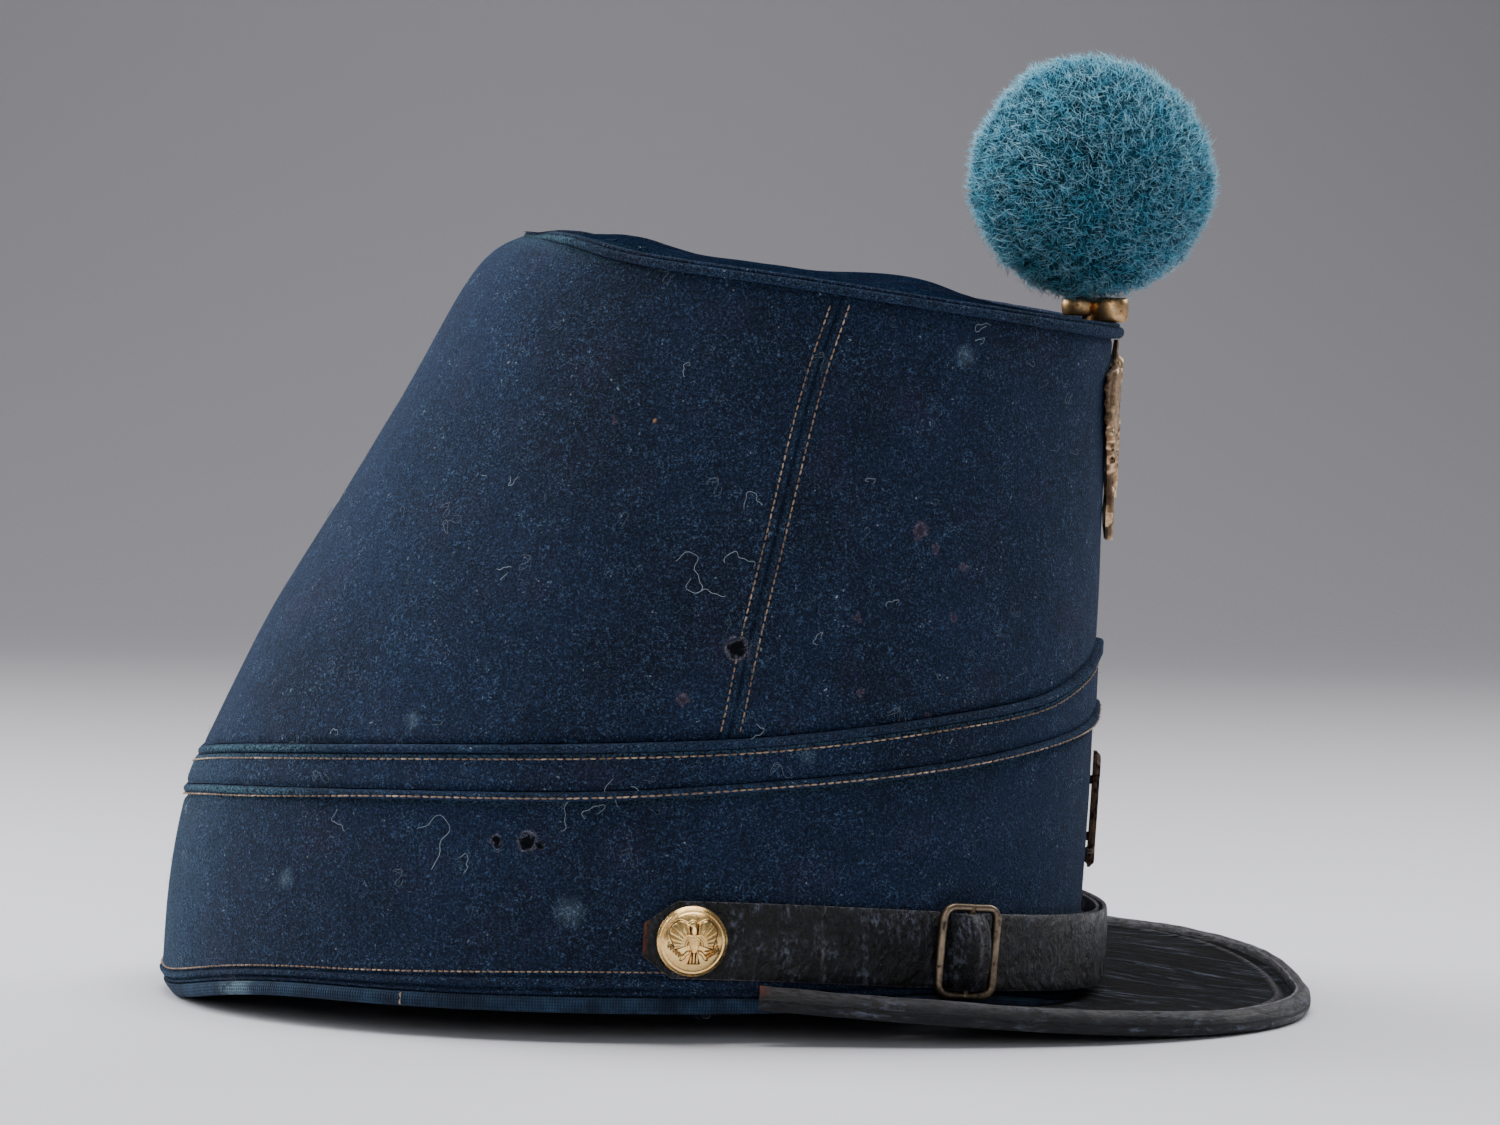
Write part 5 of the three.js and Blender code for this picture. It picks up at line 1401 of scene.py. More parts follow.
class SHAKO_OT_buckle(bpy.types.Operator):
    """Make the wire frame of the buckle and its middle bar"""

    bl_idname = "shako.buckle"
    bl_label = "Buckle"

    def execute(self, context):
        look = brass("drawn_brass_wire_tarnished", "#93836e", "#6f6152", "#3a322c", 0.3, 0.3)
        wire = BUCKLE_WIRE / 2
        corner = 2.4
        tall = (BUCKLE_HEIGHT - BUCKLE_WIRE) / 2
        path = []
        for quarter, (sx, sy) in enumerate(((1, 1), (-1, 1), (-1, -1), (1, -1))):
            for a in np.radians(90 * quarter + np.linspace(0, 90, 10)):
                x = sx * (WIRE_SIDE - corner) + corner * math.cos(a)
                y = sy * (tall - corner) + corner * math.sin(a)
                path.append((x, y, math.cos(a), math.sin(a)))
            nx, ny = math.cos(math.radians(90 * quarter + 90)), math.sin(math.radians(90 * quarter + 90))
            after = ((-1, 1), (-1, -1), (1, -1), (1, 1))[quarter]
            ax = sx * (WIRE_SIDE - corner) + corner * nx
            ay = sy * (tall - corner) + corner * ny
            bx = after[0] * (WIRE_SIDE - corner) + corner * nx
            by = after[1] * (tall - corner) + corner * ny
            for t in np.linspace(0, 1, 9)[1:-1]:
                path.append((lerp(ax, bx, t), lerp(ay, by, t), nx, ny))
        path = np.array(path)
        a = np.linspace(0, 2 * math.pi, 20, endpoint=False)[None, :]
        across = wire * np.sign(np.cos(a)) * np.abs(np.cos(a)) ** 0.8
        z = wire * np.sign(np.sin(a)) * np.abs(np.sin(a)) ** 0.8
        x = path[:, 0:1] + path[:, 2:3] * across
        y = path[:, 1:2] + path[:, 3:4] * across
        at = on_buckle(x, y, z + 0 * x)
        at = at + 0.05 * noise(at, 1.6, 61)[..., None]
        frame_piece = loft("buckle_frame", at, True, [look], {"hollow": 0.35 * smooth(-across, 0.0, wire)})
        t = np.linspace(-tall - 0.1, tall + 0.1, 24)[:, None]
        bar = BUCKLE_BAR / 2
        swell = 1 + 0.45 * smooth(np.abs(t), tall - 0.9, tall)
        at = on_buckle(bar * swell * np.cos(a) + 0 * t, t + 0 * a, bar * swell * np.sin(a))
        bar_piece = loft("buckle_bar", at, False, [look], {"hollow": 0.3})
        finish_piece(merged("buckle_wire", [frame_piece, bar_piece]), "dull_brass", "buckle")
        return {"FINISHED"}


def spot(x, y, cx, cy, rx, ry, tilt=0.0, soft=0.35):
    """A soft oval, 1 inside and 0 outside."""
    c, s = math.cos(math.radians(tilt)), math.sin(math.radians(tilt))
    dx, dy = x - cx, y - cy
    return 1 - smooth(np.hypot((dx * c + dy * s) / rx, (dy * c - dx * s) / ry), 1 - soft, 1)


def eagle(x, y):
    """Height of a heraldic eagle with a shield on its breast, from 0 to 1, in a unit disc."""
    side = np.abs(x)
    # Wings raised and spread, feathered from the shoulder outwards.
    angle = np.degrees(np.arctan2(y + 0.05, side - 0.08))
    far = np.hypot(side - 0.08, y + 0.05)
    reach = 0.5 + 0.24 * smooth(angle, -8, 45) - 0.16 * smooth(angle, 62, 88)
    wing = smooth(reach - far, 0.0, 0.05) * smooth(angle, -22, -12) * (1 - smooth(angle, 80, 90))
    feather = 0.5 + 0.5 * np.cos(np.radians(angle) * 22)
    long_feather = 0.6 + 0.4 * feather * smooth(far, 0.2, 0.32)
    covert = 0.15 * smooth(0.34 - far, 0, 0.03) * (0.6 + 0.4 * np.cos(far * 90))
    height = wing * (0.52 * long_feather + covert + 0.1 * smooth(far, 0.05, 0.3))
    # Tail, legs, branch and arrows.
    tail = smooth(-y - 0.2, 0, 0.05) * smooth(0.62 + y, 0, 0.04)
    tail = tail * smooth(0.06 + 0.32 * (-y - 0.2) - side, 0, 0.03)
    height = np.maximum(height, tail * (0.42 + 0.15 * np.cos(x * 70)))
    for cx, cy, tilt in ((0.2, -0.3, -38), (0.3, -0.42, -52)):
        height = np.maximum(height, 0.5 * spot(side, y, cx, cy, 0.13, 0.055, tilt))
    for k in range(6):
        cx, cy = -0.34 - 0.07 * k, -0.46 + 0.062 * k
        for lean in (85, -5):
            leaf_x = cx + 0.05 * math.cos(math.radians(lean))
            leaf = spot(x, y, leaf_x, cy + 0.05, 0.075, 0.028, lean)
            height = np.maximum(height, 0.4 * leaf)
    for k in range(3):
        height = np.maximum(height, 0.42 * spot(x, y, 0.5, -0.36 + 0.07 * k, 0.24, 0.022, 32 - 12 * k))
        barb = spot(x, y, 0.68 - 0.03 * k, -0.25 + 0.13 * k - 0.03, 0.05, 0.035, 32 - 12 * k)
        height = np.maximum(height, 0.45 * barb)
    # Head turned to one side, neck and beak.
    height = np.maximum(height, 0.72 * spot(x, y, 0.0, 0.34, 0.1, 0.2, 0))
    height = np.maximum(height, 0.85 * spot(x, y, -0.03, 0.5, 0.12, 0.1, 10))
    height = np.maximum(height, 0.8 * spot(x, y, -0.15, 0.47, 0.08, 0.04, 20))
    # Shield: a plain chief over upright stripes.
    top, point = 0.22, -0.3
    width = 0.19 * np.sqrt(np.clip((y - point) / (top - point), 0, 1)) ** 0.8
    shield = smooth(width - side, 0.0, 0.025) * smooth(top - y, 0.0, 0.02)
    stripes = np.where(y < 0.08, 0.09 * np.cos(x * 2 * math.pi / 0.075), 0.0)
    rim_line = 0.07 * (1 - smooth(width - side, 0.03, 0.05))
    return np.maximum(height, shield * (0.82 + stripes + rim_line))


def button_mesh(name, side, strap_thickness, look):
    rings = np.concatenate([np.linspace(0.012, 0.86, 60), np.linspace(0.87, 1.0, 10)])
    turns = np.linspace(0, 2 * math.pi, 160, endpoint=False)
    r, a = np.meshgrid(rings, turns, indexing="ij")
    radius = BUTTON_DIAMETER / 2
    x, y = r * np.cos(a), r * np.sin(a)
    relief = eagle(x / 1.02, (y - 0.02) / 1.02) * (1 - smooth(r, 0.8, 0.87))
    dome = BUTTON_EDGE + BUTTON_DOME * (1 - r**2.4)
    border = 0.14 * ridge(r, 0.9, 0.028) - 0.12 * ridge(r, 0.845, 0.02)
    grit = 0.02 * noise(np.stack([x, y, 0 * x], -1) * 40, 1.0, 71)
    z = dome + 0.9 * relief + border + grit * (1 - relief)
    face = np.stack([radius * x, radius * y, z], -1)
    skirt = []
    for share, level in ((1.0, 0.75), (0.985, 0.35), (0.95, 0.08), (0.8, 0.0), (0.35, 0.0)):
        x, y = radius * share * np.cos(turns), radius * share * np.sin(turns)
        skirt.append(np.stack([x, y, 0 * turns + level], -1))
    stations = np.concatenate([face, np.array(skirt)])
    # Dirt lies along the foot of the relief and between the feathers.
    hollow = smooth(relief, 0.01, 0.06) * (1 - smooth(relief, 0.34, 0.5))
    hollow = np.concatenate([hollow, np.full((len(skirt), len(turns)), 0.3)])
    seat = GAP + strap_thickness + GAP
    turn = side * math.radians(BUTTON_TURN)
    origin, along, up, outward = frame_on(turn, strap_centre(turn), seat)
    at = origin + stations[..., 0:1] * along + stations[..., 1:2] * up + stations[..., 2:3] * outward
    return loft(name, at, False, [look], {"hollow": hollow}, 70)


class SHAKO_OT_buttons(bpy.types.Operator):
    """Make the two domed side buttons with their raised eagles"""

    bl_idname = "shako.buttons"
    bl_label = "Buttons"

    def execute(self, context):
        look = brass("gilt_stamped_brass_button", "#ffdb94", "#fac176", "#4a2a10", 0.2, 0.0)
        finish_piece(button_mesh("side_button_right", -1, OUTER_STRAP, look), "gilt_brass", "button_right")
        finish_piece(button_mesh("side_button_left", 1, INNER_STRAP, look), "gilt_brass", "button_left")
        return {"FINISHED"}


PLATE_OUTLINE = {
    "up": [0, 0.06, 0.14, 0.22, 0.34, 0.48, 0.62, 0.76, 0.84, 0.88, 0.94, 1],
    "half": [0.16, 0.36, 0.44, 0.36, 0.5, 0.7, 0.9, 1, 0.92, 0.38, 0.28, 0.12],
}
NUMERAL_OUTLINE = {
    "up": [0, 0.12, 0.15, 0.77, 0.8, 0.88, 1],
    "left": [-0.5, -0.5, -0.2, -0.2, -0.48, -0.36, -0.04],
    "right": [0.5, 0.5, 0.2, 0.2, 0.2, 0.2, 0.2],
}


def front_fitting(name, up, left, right, foot, tall, thickness, relief, look, hollow):
    """A stamped fitting bent to the front of the body, from rows of left and right edges."""
    share = np.linspace(0, 1, 61)[None, :]
    x = lerp(left[:, None], right[:, None], share)
    z = foot + tall * up[:, None] + 0 * share
    _, _, half = outline(z / FRONT_HEIGHT)
    turn = np.arcsin(np.clip(x / half, -1, 1))
    rise = relief(x, up[:, None] + 0 * share)
    outer = skin(turn, z, FITTING_STANDOFF + thickness + rise)
    pressed = 0.6 * np.maximum(rise, 0) * smooth(0.5 - np.abs(share - 0.5), 0, 0.1)
    back = skin(turn, z, FITTING_STANDOFF + pressed)
    posts = []
    sides = np.linspace(0, 2 * math.pi, 14, endpoint=False)[None, :]
    for level in (0.25, 0.75):
        origin, along, rise_dir, outward = frame_on(0.0, foot + tall * level)
        depth = np.array([GAP, FITTING_STANDOFF + thickness / 2])[:, None]
        ring = np.cos(sides)[..., None] * along + np.sin(sides)[..., None] * rise_dir
        at = origin + ring + depth[..., None] * outward
        posts.append(loft(name + "_post", at, False, [look], {"hollow": 0.5}))
    marks = {"hollow": hollow(x, up[:, None] + 0 * share)}
    body = shell(name + "_face", outer, back[:, ::3], False, [look], marks, 50)
    return merged(name, [body] + posts)


class SHAKO_OT_front_fittings(bpy.types.Operator):
    """Make the stamped eagle plate and the numeral on the front"""

    bl_idname = "shako.front_fittings"
    bl_label = "Front fittings"

    def execute(self, context):
        look = brass("stamped_sheet_brass_plate", "#d9b994", "#a18263", "#3a2a20", 0.34, 0.3)
        half = PLATE_WIDTH / 2
        up = np.linspace(0, 1, 150)
        edge = half * np.interp(up, PLATE_OUTLINE["up"], PLATE_OUTLINE["half"])
        scallops = 0.05 * np.cos(up * 2 * math.pi * 13) * smooth(up, 0.3, 0.4) * smooth(0.86 - up, 0, 0.03)
        edge = edge * (1 + scallops)

        def picture(x, share):
            return eagle(x / half * 0.78, (share - 0.45) * 1.25)

        def relief(x, share):
            reach = np.interp(share, up, edge)
            raised = 1.5 * picture(x, share) * smooth(reach - np.abs(x), 0.0, 0.8)
            return raised - 0.35 * smooth(np.abs(x), reach - 0.6, reach)

        def hollow(x, share):
            return 0.8 * (1 - smooth(picture(x, share), 0.1, 0.5))

        foot = FRONT_HEIGHT - PLATE_DROP - PLATE_HEIGHT
        plate = front_fitting(
            "eagle_plate", up, -edge, edge, foot, PLATE_HEIGHT, PLATE_THICKNESS, relief, look, hollow
        )
        finish_piece(plate, "gilt_brass", "front_plate")

        dull = brass("cast_brass_numeral_tarnished", "#5a4638", "#3a2d2a", "#1e1818", 0.45, 0.6)
        up = np.linspace(0, 1, 110)
        left = NUMERAL_WIDTH * np.interp(up, NUMERAL_OUTLINE["up"], NUMERAL_OUTLINE["left"])
        right = NUMERAL_WIDTH * np.interp(up, NUMERAL_OUTLINE["up"], NUMERAL_OUTLINE["right"])

        def bevel(x, share):
            from_side = np.minimum(x - np.interp(share, up, left), np.interp(share, up, right) - x)
            from_end = NUMERAL_HEIGHT * np.minimum(share, 1 - share)
            return -0.8 * (1 - smooth(np.minimum(from_side, from_end), 0.0, 1.0))

        numeral = front_fitting(
            "numeral_one", up, left, right, NUMERAL_FOOT, NUMERAL_HEIGHT, NUMERAL_THICKNESS, bevel, dull,
            lambda x, share: 0.35 + 0 * x,
        )
        finish_piece(numeral, "dull_brass", "front_numeral")
        return {"FINISHED"}


SEAT_FOOT = FRONT_HEIGHT + TOP_WELT_HEIGHT / 2 + GAP
SEAT_HEAD = SEAT_FOOT + SEAT_HEIGHT
STEM_X = BASE_LENGTH / 2 + TOP_LEAN - POMPOM_SET_BACK
BALL_CENTRE = np.array([STEM_X, 0.0, SEAT_HEAD + GAP + POMPOM_DIAMETER / 2 - POMPOM_SINK])


def turned_piece(name, profile, x, look, sides=48):
    """A lathe-turned solid on an upright axis, from rows of radius and height."""
    profile = np.asarray(profile, float)
    a = np.linspace(0, 2 * math.pi, sides, endpoint=False)[None, :]
    radius, level = profile[:, 0:1], profile[:, 1:2]
    at = np.stack([x + radius * np.cos(a), radius * np.sin(a), level + 0 * a], -1)
    low = profile[:, 1].min()
    hollow = 0.6 * ridge(level, low, 0.9) + 0 * a
    return loft(name, at, False, [look], {"hollow": hollow})


def fibre_mesh(name, length, thickness, sides, bends, crook, look):
    """A tapered, crimped fibre along +Z from the origin, in metres, with its depth from 0 to 1."""
    up = np.arange(bends + 1) / (bends + 1)
    a = np.linspace(0, 2 * math.pi, sides, endpoint=False)[None, :]
    girth = thickness / 2 * (1 - 0.3 * up)[:, None]
    crimp = (crook * length * np.where(np.arange(bends + 1) % 2, 1.0, -0.4) * (up > 0))[:, None]
    at = np.stack([girth * np.cos(a) + crimp, girth * np.sin(a), length * up[:, None] + 0 * a], -1)
    points = np.concatenate([at.reshape(-1, 3), [[-crook * length, 0, length]]])
    k = np.arange(sides) + bends * sides
    faces = [tuple(f) for f in grid(bends + 1, sides, wrap_columns=True)]
    faces += [(k[i], k[(i + 1) % sides], len(points) - 1) for i in range(sides)]
    fibre = plain(name, points, faces, look)
    fibre.data.flip_normals()
    mark(fibre.data, "depth", np.append(np.repeat(up, sides), 1.0))
    return fibre


def curl_mesh(name, length, thickness, turning, wave, look):
    """A curled hair that lies flat, in metres: its heading turns steadily and also swings."""
    t = np.linspace(0, 1, 12)
    heading = turning * t + wave * np.sin(7.0 * t + 1.0)
    step = length / (len(t) - 1)
    x, y = np.cumsum(np.cos(heading)) * step, np.cumsum(np.sin(heading)) * step
    line = np.stack([x, y, 0.0002 + 0.0002 * t], -1)
    ring = np.linspace(0, 2 * math.pi, 3, endpoint=False)
    side = np.stack([-np.sin(heading), np.cos(heading), 0 * t], -1)
    at = line[:, None] + thickness / 2 * (
        np.cos(ring)[None, :, None] * side[:, None] + np.sin(ring)[None, :, None] * np.array([0, 0, 1.0])
    )
    last = 3 * (len(t) - 1)
    faces = [*grid(len(t), 3, wrap_columns=True), (2, 1, 0), (last, last + 1, last + 2)]
    return plain(name, at.reshape(-1, 3), faces, look)


def new_tree(name, inputs):
    """A geometry node tree with named inputs, and its group input node."""
    tree = bpy.data.node_groups.new(name, "GeometryNodeTree")
    tree.interface.new_socket("Geometry", in_out="INPUT", socket_type="NodeSocketGeometry")
    tree.interface.new_socket("Geometry", in_out="OUTPUT", socket_type="NodeSocketGeometry")
    for key, kind in inputs.items():
        tree.interface.new_socket(key, in_out="INPUT", socket_type=kind)
    return tree, tree.nodes.new("NodeGroupInput")


def grow(carrier, tree, values, name):
    """Runs a node tree on a carrier and keeps what it makes as a plain mesh piece."""
    modifier = carrier.modifiers.new("grow", "NODES")
    modifier.node_group = tree
    for item in tree.interface.items_tree:
        if item.item_type == "SOCKET" and item.in_out == "INPUT" and item.name in values:
            modifier[item.identifier] = values[item.name]
    graph = bpy.context.evaluated_depsgraph_get()
    result = bpy.data.meshes.new_from_object(carrier.evaluated_get(graph), depsgraph=graph)
    carrier.modifiers.remove(modifier)
    if not len(result.polygons):
        raise RuntimeError(f"{name} came out empty")
    result.name = name
    return link(name, result)


def place_copies(tree, points, shape, rotation, scale, look):
    """Ends a tree: copies of a shape on points, each with a shade of its own, in one material."""
    shape = add(tree, "GeometryNodeObjectInfo", {"Object": shape}, out="Geometry")
    inputs = {"Points": points, "Instance": shape, "Rotation": rotation, "Scale": scale}
    placed = add(tree, "GeometryNodeInstanceOnPoints", inputs)
    tint = add(tree, RANDOM, out=1, data_type="FLOAT")
    inputs = {"Geometry": placed, "Name": "shade", "Value": tint}
    named = add(tree, "GeometryNodeStoreNamedAttribute", inputs, data_type="FLOAT", domain="INSTANCE")
    real = add(tree, "GeometryNodeRealizeInstances", {"Geometry": named})
    dressed = add(tree, "GeometryNodeSetMaterial", {"Geometry": real, "Material": look})
    add(tree, "NodeGroupOutput", {"Geometry": dressed})


def scatter_tree(name, look):
    """Shapes scattered over faces, standing on them, leaning together in clumps."""
    tree, given = new_tree(
        name,
        {
            "Shape": "NodeSocketObject",
            "Density": "NodeSocketFloat",
            "Seed": "NodeSocketInt",
            "Lean": "NodeSocketFloat",
            "Clump lean": "NodeSocketFloat",
            "Clump scale": "NodeSocketFloat",
            "Shortest": "NodeSocketFloat",
            "Longest": "NodeSocketFloat",
        },
    )
    g = given.outputs
    spread = tree.nodes.new("GeometryNodeDistributePointsOnFaces")
    tree.links.new(g["Geometry"], spread.inputs["Mesh"])
    tree.links.new(g["Density"], spread.inputs["Density"])
    tree.links.new(g["Seed"], spread.inputs["Seed"])
    where = add(tree, "GeometryNodeInputPosition")
    swirl = add(tree, NOISE, {"Vector": where, "Scale": g["Clump scale"], "Detail": 1.0}, out="Color")
    swirl = add(tree, VECTOR, {0: swirl, 1: (0.5, 0.5, 0.5)}, operation="SUBTRACT")
    swirl = add(tree, VECTOR, {0: swirl, "Scale": g["Clump lean"]}, operation="SCALE")
    low = add(tree, MATH, {0: g["Lean"], 1: -1.0}, operation="MULTIPLY")
    low = add(tree, "ShaderNodeCombineXYZ", {0: low, 1: low, 2: low})
    high = add(tree, "ShaderNodeCombineXYZ", {0: g["Lean"], 1: g["Lean"], 2: g["Lean"]})
    ends = {0: low, 1: high, "Seed": g["Seed"]}
    stray = add(tree, RANDOM, ends, out=0, data_type="FLOAT_VECTOR")
    aim = add(tree, VECTOR, {0: spread.outputs["Normal"], 1: swirl}, operation="ADD")
    aim = add(tree, VECTOR, {0: aim, 1: stray}, operation="ADD")
    spin = add(tree, RANDOM, {3: 2 * math.pi, "Seed": g["Seed"]}, out=1, data_type="FLOAT")
    spun = add(tree, "FunctionNodeAxisAngleToRotation", {"Axis": (0, 0, 1), "Angle": spin})
    turned = add(tree, "FunctionNodeAlignRotationToVector", {"Rotation": spun, "Vector": aim}, axis="Z")
    ends = {2: g["Shortest"], 3: g["Longest"], "Seed": g["Seed"]}
    size = add(tree, RANDOM, ends, out=1, data_type="FLOAT")
    place_copies(tree, spread.outputs["Points"], g["Shape"], turned, size, look)
    return tree


def ball_mesh(name, radius, detail, look, wedge=(0, 360)):
    """A lumpy ball round the pompom's middle, or the wedge of one between two turns in degrees."""
    whole = bmesh.new()
    bmesh.ops.create_icosphere(whole, subdivisions=detail, radius=1.0)
    low, high = (math.radians(a) for a in wedge)
    gone = []
    for face in whole.faces:
        middle = face.calc_center_median()
        if not low <= math.atan2(middle.y, middle.x) % (2 * math.pi) < high:
            gone.append(face)
    bmesh.ops.delete(whole, geom=gone, context="FACES")
    mesh = bpy.data.meshes.new(name)
    whole.to_mesh(mesh)
    whole.free()
    out = np.empty(3 * len(mesh.vertices), np.float32)
    mesh.vertices.foreach_get("co", out)
    out = out.reshape(-1, 3).astype(float)
    far = radius + 1.1 * noise(out * radius, 2.6, 81) + 0.9 * noise(out * radius, 8.0, 82)
    # The ball narrows a little towards the seat.
    far = far - 0.9 * smooth(-out[:, 2], 0.35, 0.95)
    at = (BALL_CENTRE + HOME + out * far[:, None]) * MM
    mesh.vertices.foreach_set("co", at.astype(np.float32).ravel())
    mesh.materials.append(look)
    mesh.shade_smooth()
    return link(name, mesh)


class SHAKO_OT_pompom(bpy.types.Operator):
    """Make the brass seat with its two barrels and the wool pompom on it"""

    bl_idname = "shako.pompom"
    bl_label = "Pompom and seat"

    def execute(self, context):
        settings = context.scene.shako_pompom
        look = brass("lacquered_brass_seat", "#efc994", "#bd9060", "#4c3420", 0.32, 0.15)
        front_x = BASE_LENGTH / 2 + TOP_LEAN + TOP_WELT_REACH - FRONT_BARREL / 2 + 2.3
        back_x = front_x - (FRONT_BARREL + BACK_BARREL) / 2 + 0.8
        pieces = []
        for name, x, width in (("front_barrel", front_x, FRONT_BARREL), ("back_barrel", back_x, BACK_BARREL)):
            foot = SEAT_FOOT if width == FRONT_BARREL else top_plane(x - width / 2) + TIP_THICKNESS / 2 + GAP
            r = width / 2
            mid = lerp(foot, SEAT_HEAD, 0.55)
            profile = [
                (0.4, foot), (r - 0.75, foot), (r - 0.45, foot + 0.12), (r - 0.28, foot + 0.5),
                (r - 0.12, foot + 1.2), (r, mid), (r - 0.06, SEAT_HEAD - 1.2), (r - 0.25, SEAT_HEAD - 0.4),
                (r - 0.6, SEAT_HEAD), (0.4, SEAT_HEAD),
            ]
            pieces.append(turned_piece(name, profile, x, look))
        stem = [(0.3, SEAT_FOOT - 8), (1.5, SEAT_FOOT - 8), (1.5, SEAT_HEAD + 12), (0.3, SEAT_HEAD + 12)]
        pieces.append(turned_piece("stem", stem, STEM_X, look, 16))
        finish_piece(merged("pompom_seat_barrels", pieces), "gilt_brass", "pompom_seat")

        wool = cut_wool("cut_wool_pile", "#0f4459", "#56aac9", "#b9e3ee")
        # The heart under the pile has darker colours: painted shade of the inside of the ball.
        heart_shade_look = cut_wool("wool_heart_painted_shade", "#0f3d4e", "#1b566a", "#226074")
        pile = settings.pile / MM
        heart_radius = POMPOM_DIAMETER / 2 - 0.75 * pile

        heart = ball_mesh("pompom_heart", heart_radius, 5, heart_shade_look)
        mark(heart.data, "depth", np.full(len(heart.data.vertices), 0.35))
        finish_piece(heart, "teal_wool", "pompom")
        strand = fibre_mesh("wool_fibre", pile * MM, 0.0002, 3, 1, 0.3, wool)
        tree = scatter_tree("Pompom pile", wool)
        root = POMPOM_DIAMETER / 2 - 0.7 * pile
        area = 4 * math.pi * (root * MM) ** 2
        for k in range(3):
            sector = ball_mesh("pile_ground", root, 5, heart_shade_look, (120 * k, 120 * k + 120))
            values = {
                "Shape": strand,
                "Density": settings.fibres * 3 / area,
                "Seed": settings.seed + k,
                "Lean": 1.3,
                "Clump lean": 2.6,
                "Clump scale": 480.0,
                "Shortest": 0.6,
                "Longest": 1.15,
            }
            piece = grow(sector, tree, values, f"pompom_pile_{k + 1}")
            bpy.data.objects.remove(sector)
            finish_piece(piece, "teal_wool")
        bpy.data.objects.remove(strand)
        return {"FINISHED"}


# Stitches: each run is a table of turn in radians, height and how far out the thread lies.
def spaced(turn, height, out, pitch, seed):
    """Places at an even pitch along a line on the body, with their directions."""
    line = skin(turn, height, out)
    run = np.concatenate([[0], np.cumsum(np.linalg.norm(np.diff(line, axis=0), axis=-1))])
    count = int(run[-1] / pitch)
    rng = np.random.default_rng(seed)
    at = (np.arange(count) + 0.5) * pitch + rng.uniform(-0.09, 0.09, count) * pitch
    points = np.stack([np.interp(at, run, line[:, k]) for k in range(3)], -1)
    ahead = np.stack([np.interp(at + 0.4, run, line[:, k]) for k in range(3)], -1)
    behind = np.stack([np.interp(at - 0.4, run, line[:, k]) for k in range(3)], -1)
    along = ahead - behind
    along /= np.linalg.norm(along, axis=-1, keepdims=True)
    outward = frame_on(np.interp(at, run, turn), np.interp(at, run, height))[3]
    return points, along, outward


def stitch_mesh(name, length, thickness, look):
    """One stitch along +X that rises from the cloth and sinks back into it."""
    x = np.linspace(-1, 1, 5)[:, None]
    a = np.linspace(0, 2 * math.pi, 4, endpoint=False)[None, :]
    girth = thickness / 2 * np.sqrt(np.maximum(1 - x**2, 0.12))
    lift = thickness * (0.55 - 0.95 * x**2)
    at = np.stack([x * length / 2 + 0 * a, girth * np.cos(a), girth * np.sin(a) + lift], -1)
    faces = [*grid(5, 4, wrap_columns=True), (3, 2, 1, 0), (16, 17, 18, 19)]
    return plain(name, at.reshape(-1, 3), faces, look)


